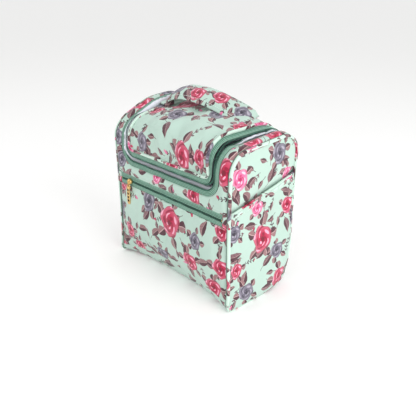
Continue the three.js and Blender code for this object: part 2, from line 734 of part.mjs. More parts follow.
// The crook of the hook in its own X-Z plane, hanging down from a swivel at the origin.
class HookPath extends SteppedPath {
  getPoint(t, target = new THREE.Vector3()) {
    const shank = 14;
    const sweepAngle = THREE.MathUtils.degToRad(240);
    const total = shank + HOOK_RADIUS * sweepAngle;
    const d = t * total;
    if (d < shank) return target.set(0, 0, -d);
    const angle = Math.PI / 2 - (d - shank) / HOOK_RADIUS;
    const centre = -shank - HOOK_RADIUS;
    return target.set(HOOK_RADIUS * Math.cos(angle), 0, centre + HOOK_RADIUS * Math.sin(angle));
  }
}

function buildHook() {
  const swing = new THREE.Group();
  swing.position.set(0, DEPTH / 2 - WALL - GAP - LINING - 3, HINGE_Z - 2);
  swing.rotation.x = -THREE.MathUtils.degToRad(HOOK_REST_DEG);
  const half = STRAP_WIDTH / 2;
  add('hook_strap', box([-half, half], [-0.8, 0.8], [-STRAP_LENGTH, -3]), fabric(TAPE_GREEN), swing);
  const collar = box([-half, half], [-2.4, 2.4], [-STRAP_LENGTH - GAP - 6, -STRAP_LENGTH - GAP]);
  const bore = rod(
    new THREE.Vector3(0, 0, -STRAP_LENGTH - 8),
    new THREE.Vector3(0, 0, -STRAP_LENGTH - 3),
    1.9,
    12,
  );
  add('hook_collar', cutAway(collar, bore), plastic(PLASTIC_WHITE), swing);
  const start = -STRAP_LENGTH - GAP - 6 - GAP;
  const stem = rod(new THREE.Vector3(0, 0, start - 1), new THREE.Vector3(0, 0, start + 2.9), 1.5, 10);
  const washer = rod(new THREE.Vector3(0, 0, start - 2.5), new THREE.Vector3(0, 0, start), 3.6, 14);
  const crook = sweep(ringSection(HOOK_WIRE, 8), new HookPath(), 30);
  crook.translate(0, 0, start - 2);
  add('hook', join(stem, washer, crook), plastic(PLASTIC_WHITE), swing);
  bag.add(swing);
}

buildWalls();
buildInside();
buildSides();
buildPocketZip();
buildOpeningZip();
buildPocketPull();
buildLidSliders();
buildLid();
buildHandle();
buildHook();

export default bag;
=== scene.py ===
"""Hanging toiletry bag in printed cloth: its looks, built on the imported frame."""
import logging
import math
from dataclasses import dataclass, field
from enum import Enum
from typing import Callable, Iterable, Sequence

import bmesh
import bpy
from mathutils import Matrix, Vector, noise


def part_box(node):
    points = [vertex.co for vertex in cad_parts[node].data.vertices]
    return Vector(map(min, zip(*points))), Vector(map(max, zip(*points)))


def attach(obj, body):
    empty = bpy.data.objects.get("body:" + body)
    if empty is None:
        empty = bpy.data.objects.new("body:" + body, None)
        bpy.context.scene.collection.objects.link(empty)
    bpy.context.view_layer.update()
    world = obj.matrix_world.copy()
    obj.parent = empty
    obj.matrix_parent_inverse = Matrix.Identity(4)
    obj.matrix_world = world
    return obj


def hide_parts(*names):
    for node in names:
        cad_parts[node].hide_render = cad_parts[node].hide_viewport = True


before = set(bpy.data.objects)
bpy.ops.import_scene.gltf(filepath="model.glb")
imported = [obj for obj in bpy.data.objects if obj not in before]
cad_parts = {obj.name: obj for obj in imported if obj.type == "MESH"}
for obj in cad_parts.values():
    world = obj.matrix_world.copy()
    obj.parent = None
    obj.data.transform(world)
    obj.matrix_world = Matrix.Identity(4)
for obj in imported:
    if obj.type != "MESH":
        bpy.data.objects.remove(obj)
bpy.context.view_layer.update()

log = logging.getLogger("toiletry_bag")
Colour = tuple[float, float, float, float]
Point2 = tuple[float, float]


def tint(code: str) -> Colour:
    """Turn a six-figure hex colour into a linear colour.

    Args:
        code: The colour as six hexadecimal figures.

    Returns:
        The colour as linear red, green and blue with full alpha.
    """
    parts = [int(code[i:i + 2], 16) / 255 for i in (0, 2, 4)]
    linear = [c / 12.92 if c <= 0.04045 else ((c + 0.055) / 1.055) ** 2.4 for c in parts]
    return (linear[0], linear[1], linear[2], 1.0)


def ease(value: float, low: float, high: float) -> float:
    """Rise smoothly from 0 at low to 1 at high.

    Args:
        value: Where to read the curve.
        low: Where it leaves 0.
        high: Where it reaches 1.

    Returns:
        A number from 0 to 1.
    """
    t = min(1.0, max(0.0, (value - low) / (high - low)))
    return t * t * (3 - 2 * t)


def hump(t: float) -> float:
    """Rise from 0 at both ends of 0..1 to 1 in the middle."""
    return max(0.0, 1.0 - (2.0 * t - 1.0) ** 2)


def ripple(a: float, b: float, seed: float = 0.0) -> float:
    """Smooth noise between about -1 and 1 at a place on a panel."""
    return noise.noise(Vector((a, b, seed)))


# ------------------------------------------------------------------ the bag's outline
@dataclass
class Outline:
    """The rounded side profile of the bag, walked from the foot of the front.

    The walk goes up the front, over the top, down the back and along the base.
    """

    depth: float
    front_height: float
    rear_height: float
    top_radius: float = 0.028
    base_radius: float = 0.014
    legs: list[tuple] = field(default_factory=list)

    def __post_init__(self) -> None:
        """Work out the straight and rounded legs of the walk."""
        half = self.depth / 2
        corners = [(Vector((-half, 0)), self.base_radius),
                   (Vector((-half, self.front_height)), self.top_radius),
                   (Vector((half, self.rear_height)), self.top_radius),
                   (Vector((half, 0)), self.base_radius)]
        ends = []
        for i, (corner, radius) in enumerate(corners):
            back = (corners[i - 1][0] - corner).normalized()
            ahead = (corners[(i + 1) % 4][0] - corner).normalized()
            half_angle = math.acos(max(-1, min(1, back.dot(ahead)))) / 2
            reach = radius / math.tan(half_angle)
            centre = corner + (back + ahead).normalized() * radius / math.sin(half_angle)
            ends.append((corner + back * reach, corner + ahead * reach, centre, radius))
        for i in range(4):
            begin, finish = ends[i][1], ends[(i + 1) % 4][0]
            self.legs.append(("straight", begin, finish, (finish - begin).length))
            enter, leave, centre, radius = ends[(i + 1) % 4]
            a0 = math.atan2(*(enter - centre).yx)
            turn = ((enter - centre).normalized().angle((leave - centre).normalized()))
            self.legs.append(("arc", centre, (a0, radius), radius * turn))

    def start_of(self, index: int) -> float:
        """The distance along the walk at which a leg starts."""
        return sum(leg[3] for leg in self.legs[:index])

    @property
    def length(self) -> float:
        """The length of the whole walk."""
        return self.start_of(8)

    def at(self, s: float) -> tuple[Vector, Vector]:
        """Find the point and the outward direction at a distance along the walk.

        Args:
            s: The distance from the foot of the front.

        Returns:
            The point and the outward normal, each as (y, z).
        """
        s = s % self.length
        for kind, first, second, length in self.legs:
            if s <= length:
                if kind == "straight":
                    run = (second - first).normalized()
                    return first + run * s, Vector((-run.y, run.x))
                angle = second[0] - s / second[1]
                out = Vector((math.cos(angle), math.sin(angle)))
                return first + out * second[1], out
            s -= length
        return self.at(0)

    def front_at(self, z: float) -> float:
        """The distance along the walk where the front is at height z."""
        return z - self.legs[0][1].y

    def rear_at(self, z: float) -> float:
        """The distance along the walk where the back is at height z."""
        return self.start_of(4) + self.legs[4][1].y - z

    def top_at(self, y: float) -> float:
        """The distance along the walk where the top is at depth y."""
        first, second = self.legs[2][1], self.legs[2][2]
        return self.start_of(2) + (y - first.x) / (second - first).normalized().x

    def bend(self, x: float, s: float, h: float) -> Vector:
        """Carry a place laid flat (across, along, outwards) onto the bag."""
        point, out = self.at(s)
        return Vector((x, point.x + out.x * h, point.y + out.y * h))

    def ring(self, inset: float, step: float = 0.004) -> list[Vector]:
        """Sample the whole outline, moved inwards.

        Args:
            inset: How far in the ring lies.
            step: The spacing of its points.

        Returns:
            The points as (y, z).
        """
        count = int(self.length / step)
        found = [self.at(self.length * i / count) for i in range(count)]
        return [point - out * inset for point, out in found]

    def rise(self, y: float, inset: float) -> Point2:
        """The lowest and highest z of the profile at depth y, moved inwards.

        Args:
            y: The depth.
            inset: How far in from the outline.

        Returns:
            The lowest and highest z.
        """
        limit = self.depth / 2 - inset - 0.0002
        y = max(-limit, min(limit, y))
        points = self.ring(inset, 0.002)
        found = [a.y + (b.y - a.y) * (y - a.x) / (b.x - a.x)
                 for a, b in zip(points, points[1:] + points[:1])
                 if (a.x - y) * (b.x - y) <= 0 and abs(a.x - b.x) > 1e-9]
        return min(found), max(found)

    def frame_at(self, x: float, s: float, h: float, side: Point2) -> tuple[Vector, Vector, Vector]:
        """A place with a sideways and an outward direction, for a ribbon.

        Args:
            x: The place across.
            s: The place along the walk.
            h: The place outwards.
            side: The sideways direction as (across, along).

        Returns:
            The place, the sideways direction and the outward direction.
        """
        out = self.at(s)[1]
        sideways = Vector((side[0], side[1] * out.y, -side[1] * out.x))
        return self.bend(x, s, h), sideways, Vector((0.0, out.x, out.y))


# ------------------------------------------------------------------ mesh making
@dataclass
class Maker:
    """Turns lists of points into finished objects that ride on the frame's bodies."""

    def solid(self, name: str, verts: Sequence[Vector], faces: Sequence[Sequence[int]],
              flat: Sequence[Point2] | None = None) -> bpy.types.Object:
        """Make a mesh object.

        Args:
            name: The object's name.
            verts: Its points.
            faces: Its faces as point numbers.
            flat: Where each point lies on the uncut cloth, in metres.

        Returns:
            The object, smooth shaded and linked to the scene.
        """
        mesh = bpy.data.meshes.new(name)
        mesh.from_pydata([tuple(v) for v in verts], [], [tuple(f) for f in faces])
        if flat is not None:
            layer = mesh.uv_layers.new(name="flat")
            for loop in mesh.loops:
                layer.data[loop.index].uv = flat[loop.vertex_index]
        mesh.validate()
        for polygon in mesh.polygons:
            polygon.use_smooth = True
        obj = bpy.data.objects.new(name, mesh)
        bpy.context.scene.collection.objects.link(obj)
        return obj

    def grid(self, name: str, rows: Sequence[Sequence[Vector]],
             flat: Sequence[Sequence[Point2]] | None = None, loop_rows: bool = False,
             loop_columns: bool = False) -> bpy.types.Object:
        """Make a sheet from rows of points.

        Args:
            name: The object's name.
            rows: Rows of points, all of one length.
            flat: The matching places on the uncut cloth.
            loop_rows: Whether the last row joins the first.
            loop_columns: Whether the last column joins the first.

        Returns:
            The sheet.
        """
        wide = len(rows[0])
        verts = [p for row in rows for p in row]
        uvs = [p for row in flat for p in row] if flat else None
        faces = []
        for j in range(len(rows) - (0 if loop_rows else 1)):
            below, above = j * wide, ((j + 1) % len(rows)) * wide
            for i in range(wide - (0 if loop_columns else 1)):
                k = (i + 1) % wide
                faces.append((below + i, below + k, above + k, above + i))
        return self.solid(name, verts, faces, uvs)

    def thicken(self, obj: bpy.types.Object, thickness: float,
                rounded: int = 0) -> bpy.types.Object:
        """Give a sheet thickness on its inner side, with a soft edge.

        Args:
            obj: The sheet.
            thickness: How thick it gets.
            rounded: How many times its edge is subdivided.

        Returns:
            The same object.
        """
        shell = obj.modifiers.new("cloth thickness", "SOLIDIFY")
        shell.thickness = thickness
        shell.offset = -1
        shell.use_even_offset = False
        if rounded:
            bevel = obj.modifiers.new("soft edge", "BEVEL")
            bevel.width = thickness * 0.45
            bevel.segments = rounded
            bevel.limit_method = "ANGLE"
            bevel.angle_limit = math.radians(50)
        return obj

    def tube(self, name: str, path: Sequence[Vector], radius: float | Callable[[float], float],
             sides: int = 10, closed: bool = False) -> bpy.types.Object:
        """Sweep a round cord along a path.

        Args:
            name: The object's name.
            path: The points followed.
            radius: The cord's radius, or a function of the way along from 0 to 1.
            sides: How many faces go round it.
            closed: Whether the path joins up.

        Returns:
            The cord, laid flat as (along, round).
        """
        count = len(path)
        rows, flat, run = [], [], 0.0
        across = None
        for i, point in enumerate(path):
            ahead = path[(i + 1) % count] if closed or i < count - 1 else point
            behind = path[i - 1] if closed or i > 0 else point
            way = (ahead - behind).normalized()
            if across is None:
                across = way.orthogonal().normalized()
            across = (across - way * across.dot(way)).normalized()
            other = way.cross(across)
            size = radius(i / (count - 1)) if callable(radius) else radius
            angles = [2 * math.pi * k / sides for k in range(sides)]
            rows.append([point + (across * math.cos(a) + other * math.sin(a)) * size
                         for a in angles])
            flat.append([(run, size * 2 * math.pi * k / sides) for k in range(sides)])
            run += (ahead - point).length
        obj = self.grid(name, rows, flat, loop_rows=closed, loop_columns=True)
        if not closed:
            self.cap(obj)
        return obj

    def cap(self, obj: bpy.types.Object) -> None:
        """Close every open edge loop of a mesh."""
        work = bmesh.new()
        work.from_mesh(obj.data)
        edges = [e for e in work.edges if e.is_boundary]
        bmesh.ops.holes_fill(work, edges=edges, sides=0)
        bmesh.ops.recalc_face_normals(work, faces=work.faces)
        work.to_mesh(obj.data)
        work.free()

    def ribbon(self, name: str, stations: Sequence[tuple[Vector, Vector, Vector]],
               section: Sequence[Point2], closed_section: bool = True,
               shift: Callable[[int, int], Vector] | None = None) -> bpy.types.Object:
        """Carry a cross-section along stations.

        Args:
            name: The object's name.
            stations: Each place with its sideways and outward directions.
            section: The section's points as (sideways, outwards).
            closed_section: Whether the section joins up.
            shift: An extra movement for station and section point numbers.

        Returns:
            The ribbon, laid flat as (along, across).
        """
        rows, flat, run = [], [], 0.0
        for i, (place, side, out) in enumerate(stations):
            if i:
                run += (place - stations[i - 1][0]).length
            row = [place + side * a + out * b for a, b in section]
            if shift:
                row = [p + shift(i, k) for k, p in enumerate(row)]
            rows.append(row)
            flat.append([(run, a) for a, b in section])
        obj = self.grid(name, rows, flat, loop_columns=closed_section)
        if closed_section:
            self.cap(obj)
        return obj

    def stitches(self, name: str, path: Sequence[Vector], out: Sequence[Vector],
                 pitch: float = 0.0032, length: float = 0.0021, radius: float = 0.00032,
                 crosswise: bool = False) -> bpy.types.Object:
        """Lay a row of thread stitches along a path.

        Args:
            name: The object's name.
            path: The seam line.
            out: The outward direction at each point.
            pitch: The distance from stitch to stitch.
            length: How long each stitch shows.
            radius: The thread's half thickness.
            crosswise: Whether each one lies across the path, as zip teeth do.

        Returns:
            All the stitches as one object.
        """
        verts: list[Vector] = []
        faces: list[tuple[int, ...]] = []
        travelled, due = 0.0, 0.0
        for a, b, n in zip(path, path[1:], out):
            way = b - a
            while due < travelled + way.length and way.length > 1e-9:
                centre = a + way * ((due - travelled) / way.length)
                run, side = way.normalized(), way.normalized().cross(n).normalized()
                if crosswise:
                    run, side = side, run
                base = len(verts)
                for t, size, lift in ((-0.5, 0.35, 0.0), (-0.25, 1, 0.6), (0.25, 1, 0.6),
                                      (0.5, 0.35, 0.0)):
                    for k in range(6):
                        angle = 2 * math.pi * k / 6
                        verts.append(centre + run * t * length + side * math.cos(angle) * radius * size
                                     + n * (math.sin(angle) * size + lift) * radius)
                for ring in range(3):
                    for k in range(6):
                        m = (k + 1) % 6
                        faces.append((base + ring * 6 + k, base + ring * 6 + m,
                                      base + ring * 6 + 6 + m, base + ring * 6 + 6 + k))
                faces.append(tuple(base + k for k in range(5, -1, -1)))
                faces.append(tuple(base + 18 + k for k in range(6)))
                due += pitch
            travelled += way.length
        return self.solid(name, verts, faces)

    def dress(self, obj: bpy.types.Object, body: str, slot: str, material: bpy.types.Material,
              replaces: Iterable[str] = ()) -> bpy.types.Object:
        """Give a piece its finish, its body and its place in the frame.

        Args:
            obj: The piece.
            body: The body it rides on.
            slot: The record's material slot.
            material: Its finish.
            replaces: The frame's nodes that it stands for.

        Returns:
            The same piece.
        """
        obj.data.materials.clear()
        obj.data.materials.append(material)
        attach(obj, body)
        names = list(replaces)
        if names:
            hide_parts(*names)
        log.info("%s rides on %s", obj.name, body)
        return obj


@dataclass
class ClothSettler:
    """Lets a stitched-down sheet swell and crease as real cloth does."""

    frames: int = 16
    growth: float = 0.018
    pressure: float = 1.2
    limit: float = 0.007

    def settle(self, obj: bpy.types.Object, held: Sequence[int]) -> None:
        """Run the cloth and keep its result in the mesh.

        Args:
            obj: The sheet, with no thickness yet.
            held: The points that are sewn down.
        """
        group = obj.vertex_groups.new(name="sewn")
        group.add(list(held), 1.0, "REPLACE")
        start = [v.co.copy() for v in obj.data.vertices]
        cloth = obj.modifiers.new("settle", "CLOTH")
        cloth.settings.vertex_group_mass = "sewn"
        cloth.settings.quality = 6
        cloth.settings.mass = 0.25
        cloth.settings.tension_stiffness = 12
        cloth.settings.compression_stiffness = 12
        cloth.settings.shear_stiffness = 5
        cloth.settings.bending_stiffness = 0.4
        cloth.settings.shrink_min = -self.growth
        cloth.settings.use_pressure = True
        cloth.settings.uniform_pressure_force = self.pressure
        cloth.settings.effector_weights.gravity = 0
        cloth.collision_settings.use_collision = False
        cloth.point_cache.frame_start = 1
        cloth.point_cache.frame_end = self.frames
        scene = bpy.context.scene
        for number in range(1, self.frames + 1):
            scene.frame_set(number)
        shape = obj.evaluated_get(bpy.context.evaluated_depsgraph_get()).to_mesh()
        moved = [v.co.copy() for v in shape.vertices]
        obj.modifiers.remove(cloth)
        obj.vertex_groups.clear()
        for vertex, before, after in zip(obj.data.vertices, start, moved):
            step = after - before
            if step.length > self.limit:
                step = step.normalized() * self.limit
            vertex.co = before + step
        scene.frame_set(1)


# ------------------------------------------------------------------ shader maths
class Value:
    """A node socket that takes part in ordinary arithmetic."""

    def __init__(self, graph: "Graph", socket: bpy.types.NodeSocket) -> None:
        """Keep the socket and the graph it belongs to."""
        self.graph = graph
        self.socket = socket

    def _do(self, operation: str, *others: "Value | float") -> "Value":
        """Add one Math node on this value."""
        return self.graph.math(operation, self, *others)

    def __add__(self, other: "Value | float") -> "Value":
        """Add."""
        return self._do("ADD", other)

    __radd__ = __add__

    def __sub__(self, other: "Value | float") -> "Value":
        """Take away."""
        return self._do("SUBTRACT", other)

    def __rsub__(self, other: float) -> "Value":
        """Take this away from a number."""
        return self.graph.math("SUBTRACT", other, self)

    def __mul__(self, other: "Value | float") -> "Value":
        """Multiply."""
        return self._do("MULTIPLY", other)

    __rmul__ = __mul__

    def __truediv__(self, other: "Value | float") -> "Value":
        """Divide."""
        return self._do("DIVIDE", other)

    def __lt__(self, other: "Value | float") -> "Value":
        """Give 1 where this is the smaller."""
        return self._do("LESS_THAN", other)

    def __gt__(self, other: "Value | float") -> "Value":
        """Give 1 where this is the greater."""
        return self._do("GREATER_THAN", other)

    def __abs__(self) -> "Value":
        """Drop the sign."""
        return self._do("ABSOLUTE")

    def sin(self) -> "Value":
        """Take the sine."""
        return self._do("SINE")

    def wrap(self) -> "Value":
        """Keep only the fraction."""
        return self._do("FRACT")

    def least(self, other: "Value | float") -> "Value":
        """Take the smaller of two."""
        return self._do("MINIMUM", other)

    def most(self, other: "Value | float") -> "Value":
        """Take the greater of two."""
        return self._do("MAXIMUM", other)

    def fade(self, low: float, high: float) -> "Value":
        """Rise smoothly from 0 at low to 1 at high, or fall if high is the lower.

        Args:
            low: Where the result is 0.
            high: Where it is 1.

        Returns:
            The eased value.
        """
        return self.graph.node("ShaderNodeMapRange", {"interpolation_type": "SMOOTHSTEP"},
                               {0: self, 1: low, 2: high, 3: 0.0, 4: 1.0})


class Graph:
    """The nodes of one finish."""

    def __init__(self, name: str) -> None:
        """Start an empty material with its shader and output."""
        self.material = bpy.data.materials.new(name)
        self.material.use_nodes = True
        self.tree = self.material.node_tree
        self.tree.nodes.clear()
        self.shader = self.tree.nodes.new("ShaderNodeBsdfPrincipled")
        self.output = self.tree.nodes.new("ShaderNodeOutputMaterial")
        self.tree.links.new(self.shader.outputs[0], self.output.inputs[0])

    def feed(self, socket: bpy.types.NodeSocket, given: object) -> None:
        """Link a value to a socket, or set it."""
        if isinstance(given, Value):
            self.tree.links.new(given.socket, socket)
        else:
            socket.default_value = given

    def node(self, kind: str, settings: dict | None = None, inputs: dict | None = None,
             output: int | str = 0) -> Value:
        """Add any node.

        Args:
            kind: The node's type.
            settings: Its settings, set before its sockets.
            inputs: Values or links for its sockets, by number or name.
            output: The socket to hand back.

        Returns:
            The chosen output.
        """
        made = self.tree.nodes.new(kind)
        for key, given in (settings or {}).items():
            if key == "stops":
                ramp = made.color_ramp
                while len(ramp.elements) < len(given):
                    ramp.elements.new(0.5)
                for element, (place, colour) in zip(ramp.elements, given):
                    element.position, element.color = place, colour
            else:
                setattr(made, key, given)
        for key, given in (inputs or {}).items():
            self.feed(made.inputs[key], given)
        return Value(self, made.outputs[output])

    def math(self, operation: str, *values: Value | float) -> Value:
        """Add a Math node."""
        return self.node("ShaderNodeMath", {"operation": operation}, dict(enumerate(values)))

    def vector(self, operation: str, *values: object, output: int = 0) -> Value:
        """Add a Vector Math node."""
        return self.node("ShaderNodeVectorMath", {"operation": operation},
                         dict(enumerate(values)), output)

    def scaled(self, vector: Value, factor: Value | float) -> Value:
        """Multiply a vector by a number."""
        return self.node("ShaderNodeVectorMath", {"operation": "SCALE"}, {0: vector, 3: factor})

    def mix(self, factor: Value | float, first: object, second: object) -> Value:
        """Mix two colours."""
        return self.node("ShaderNodeMix", {"data_type": "RGBA"},
                         {0: factor, 6: first, 7: second}, 2)

    def choose(self, factor: Value | float, first: object, second: object) -> Value:
        """Mix two vectors."""
        return self.node("ShaderNodeMix", {"data_type": "VECTOR"},
                         {0: factor, 4: first, 5: second}, 1)

    def split(self, vector: Value) -> tuple[Value, Value, Value]:
        """Take a vector apart."""
        made = self.tree.nodes.new("ShaderNodeSeparateXYZ")
        self.feed(made.inputs[0], vector)
        return (Value(self, made.outputs[0]), Value(self, made.outputs[1]),
                Value(self, made.outputs[2]))

    def flat(self) -> Value:
        """Where a point lies on the uncut cloth, in metres."""
        return self.node("ShaderNodeUVMap", {"uv_map": "flat"})

    def place(self) -> Value:
        """Where a point lies on the piece, in metres."""
        return self.node("ShaderNodeTexCoord", None, None, "Object")

    def cloud(self, where: Value, scale: float, detail: float = 2.0) -> Value:
        """Read smooth noise at a place."""
        return self.node("ShaderNodeTexNoise", None,
                         {"Vector": where, "Scale": scale, "Detail": detail})

    def bump(self, height: Value, depth: float, strength: float = 1.0) -> None:
        """Raise the surface by a height pattern."""
        made = self.node("ShaderNodeBump", None, {"Height": height, "Distance": depth,
                                                  "Strength": strength})
        self.feed(self.shader.inputs["Normal"], made)

    def surface(self, **sockets: object) -> bpy.types.Material:
        """Set the shader's sockets.

        Args:
            **sockets: Values or links by socket name, with _ for a space.

        Returns:
            The finished material.
        """
        for key, given in sockets.items():
            self.feed(self.shader.inputs[key.replace("_", " ")], given)
        return self.material


# ------------------------------------------------------------------ finishes
class Bloom(Enum):
    """The kinds of rose in the print, as (body, light strokes, dark strokes)."""

    CRIMSON = ("C11A49", "F9B4CC", "7E0B2B")
    GREY = ("726C7C", "B4AEBC", "3A3542")
    PINK = ("E4669A", "FBD3E2", "B8215A")


@dataclass(frozen=True)
class Rose:
    """One rose of the print: its middle on the flat cloth in mm, width, turn and kind."""

    u: float
    v: float
    width: float
    turn: float = 0.0
    kind: Bloom = Bloom.CRIMSON


@dataclass(frozen=True)
class PrintedCloth:
    """Mint cloth with roses placed one by one and sprigs scattered between them."""

    name: str
    roses: tuple[Rose, ...]
    seed: float = 0.0
    ground: str = "C3DCD0"
    shade: str = "B3CFC2"
    leaf_light: str = "9A7476"
    leaf_dark: str = "55303A"

    def material(self) -> bpy.types.Material:
        """Build the finish."""
        g = Graph(self.name)
        flat = g.flat()
        wobble = g.vector("SUBTRACT", g.node("ShaderNodeTexNoise", None,
                          {"Vector": flat, "Scale": 150.0, "Detail": 1.0}, "Color"),
                          (0.5, 0.5, 0.5))
        drawn = g.vector("ADD", flat, g.scaled(wobble, 0.0016))
        colour = g.mix(g.cloud(flat, 14.0), tint(self.ground), tint(self.shade))
        colour = self.sprigs(g, drawn, colour)
        colour = self.flowers(g, drawn, colour)
        thread = g.node("ShaderNodeTexWave", {"wave_type": "BANDS", "bands_direction": "X"},
                        {"Vector": flat, "Scale": 420.0, "Distortion": 0.4})
        cross = g.node("ShaderNodeTexWave", {"wave_type": "BANDS", "bands_direction": "Y"},
                       {"Vector": flat, "Scale": 420.0, "Distortion": 0.4})
        creases = g.cloud(flat, 38.0, 3.0)
        g.bump(thread * 0.04 + cross * 0.04 + creases, 0.0034, 0.6)
        rough = 0.50 + g.cloud(flat, 60.0) * 0.16
        return g.surface(Base_Color=colour, Roughness=rough, Sheen_Weight=0.25,
                         Sheen_Roughness=0.4, Specular_IOR_Level=0.4)

    def nearest(self, g: Graph, drawn: Value) -> tuple[Value, Value, Value]:
        """Find the nearest rose.

        Args:
            g: The finish's graph.
            drawn: The place on the cloth.

        Returns:
            The place within that rose in half widths, and how grey and how pink it is.
        """
        best: Value | None = None
        local: Value | None = None
        kinds: Value | None = None
        for rose in self.roses:
            half = rose.width / 2000
            turned = g.node("ShaderNodeMapping", {"vector_type": "TEXTURE"},
                            {0: drawn, 1: (rose.u / 1000, rose.v / 1000, 0.0),
                             2: (0.0, 0.0, rose.turn * 0.25), 3: (half * 1.02, half * 1.2, 1.0)})
            far = g.vector("LENGTH", turned, output=1)
            kind = (float(rose.kind is Bloom.GREY), float(rose.kind is Bloom.PINK), 0.0)
            if best is None:
                best, local = far, turned
                kinds = g.choose(0.0, kind, kind)
                continue
            nearer = far < best
            local = g.choose(nearer, local, turned)
            kinds = g.choose(nearer, kinds, kind)
            best = far.least(best)
        grey, pink, _ = g.split(kinds)
        return local, grey, pink

    def flowers(self, g: Graph, drawn: Value, under: Value) -> Value:
        """Draw the roses and their leaves over the cloth.

        Args:
            g: The finish's graph.
            drawn: The place on the cloth.
            under: The colour beneath.

        Returns:
            The colour with the flowers drawn.
        """
        local, grey, pink = self.nearest(g, drawn)
        x, y, _ = g.split(local)
        far = g.vector("LENGTH", local, output=1)
        angle = g.math("ARCTAN2", y, x)

        def pick(index: int) -> Value:
            """Take the named tone of whichever kind of rose is nearest."""
            tones = {kind: tint(kind.value[index]) for kind in Bloom}
            mixed = g.mix(grey, tones[Bloom.CRIMSON], tones[Bloom.GREY])
            return g.mix(pink, mixed, tones[Bloom.PINK])

        spokes = 5.0
        turn = (angle / (2 * math.pi) * spokes + 0.5).wrap() - 0.5
        aside = (turn * (2 * math.pi / spokes)).sin() * far
        along = (far - 0.80) / 0.85
        belly = (along.most(0.0).least(1.0) * math.pi).sin() * 0.33
        leaf = (abs(aside) < belly) * (along < 1.0) * (along > 0.0)
        side = g.mix(aside > 0.0, tint(self.leaf_light), tint(self.leaf_dark))
        vein = abs(aside) < 0.025
        side = g.mix(vein, side, tint("C9A9A6"))
        colour = g.mix(leaf, under, side)
        edge = 0.90 + (angle * 5.0).sin() * 0.055 + (angle * 3.0 + 1.0).sin() * 0.04
        petals = far < edge
        swirl = (angle * 1.0 + far * 13.0 + (angle * 2.0 + far * 5.0).sin() * 1.1).sin()
        arcs = (angle * 5.0 + far * 9.0).sin()
        pale = (swirl + arcs * 0.45).fade(0.80, 0.98) * far.fade(0.14, 0.24)
        dark = (swirl * -1.0 + arcs * 0.3).fade(0.62, 0.9)
        body = g.mix(far.fade(0.25, 1.0), pick(0), pick(1))
        body = g.mix(0.72, body, pick(0))
        body = g.mix(dark * 0.7, body, pick(2))
        body = g.mix(pale * 0.95, body, pick(1))
        body = g.mix(far.fade(0.26, 0.12), body, pick(2))
        rim = (edge - far).fade(0.07, 0.0)
        body = g.mix(rim * 0.5, body, pick(2))
        return g.mix(petals, colour, body)

    def sprigs(self, g: Graph, drawn: Value, under: Value) -> Value:
        """Scatter thin sprigs with small leaves and buds.

        Args:
            g: The finish's graph.
            drawn: The place on the cloth.
            under: The colour beneath.

        Returns:
            The colour with the sprigs drawn.
        """
        colour = self.twigs(g, drawn, under)
        leaves = ((46.0, 0.0070, 0.0032), (31.0, 0.0118, 0.0054))
        for layer, (scale, long, wide) in enumerate(leaves):
            x, y, chance, other = self.scatter(g, drawn, scale, layer * 0.37)
            bent = x - y * y * (other - 0.5) * 40.0
            t = ((y + long) / (2 * long)).most(0.0).least(1.0)
            width = (g.math("POWER", t, 0.8) * math.pi).sin() * wide
            leaf = abs(bent) < width
            stalk = (abs(bent) < 0.00035) * (y < 0.0) * (y > -1.75 * long)
            shown = chance < (0.5 if layer == 0 else 0.74)
            tone = g.mix(chance * 1.4, tint(self.leaf_light), tint("7E5C62"))
            tone = g.mix(bent > 0.0, tone, tint(self.leaf_dark))
            rib = (y * 1500.0 + abs(bent) * 900.0).sin() > 0.82
            tone = g.mix(rib * 0.35, tone, tint("3A2028"))
            tone = g.mix(abs(bent) < 0.00028, tone, tint("B99A98"))
            colour = g.mix(stalk * shown, colour, tint("4A3038"))
            colour = g.mix(leaf * shown, colour, tone)
        return colour

    def scatter(self, g: Graph, drawn: Value, scale: float, offset: float) -> tuple[Value, ...]:
        """Scatter one small motif to a cell, each turned its own way.

        Args:
            g: The finish's graph.
            drawn: The place on the cloth.
            scale: How many cells there are to a metre.
            offset: What sets this scatter apart from the others.

        Returns:
            The place in the motif as x and y in metres, and two chance numbers of the cell.
        """
        moved = g.vector("ADD", drawn, (self.seed + offset, self.seed * 0.7 - offset, 0.0))
        settings = {"voronoi_dimensions": "2D", "feature": "F1"}
        inputs = {"Vector": moved, "Scale": scale, "Randomness": 0.8}
        centre = g.node("ShaderNodeTexVoronoi", settings, inputs, "Position")
        number = g.node("ShaderNodeTexVoronoi", settings, inputs, "Color")
        chance, other, _ = g.split(number)
        spun = g.node("ShaderNodeVectorRotate", {"rotation_type": "Z_AXIS"},
                      {"Vector": g.vector("SUBTRACT", moved, centre), "Center": (0, 0, 0),
                       "Angle": chance * (4 * math.pi)})
        x, y, _ = g.split(spun)
        return x, y, chance, other

    def twigs(self, g: Graph, drawn: Value, under: Value) -> Value:
        """Draw thin dark twigs with small slanting leaves and a pink bud."""
        x, y, chance, other = self.scatter(g, drawn, 33.0, 0.91)
        bent = x - y * y * 18.0
        reach = (y > -0.0105) * (y < 0.0095)
        stem = (abs(bent) < 0.0004) * reach
        step = (y * 190.0).wrap()
        out = abs(bent) / 0.0034
        leaf = (abs(step - 0.3 - out * 0.45) < (out.least(1.0) * math.pi).sin() * 0.2) * reach
        rise = y - 0.0108
        bud = (bent * bent + rise * rise * 0.5) < 0.0000045
        tone = g.mix(other > 0.5, tint("453038"), tint("6E4A52"))
        colour = g.mix((stem + leaf).least(1.0), under, tone)
        colour = g.mix(chance > 0.62, colour, under)
        petal = g.mix(other > 0.45, tint("C22858"), tint("E27BA2"))
        return g.mix(bud * (chance < 0.5), colour, petal)


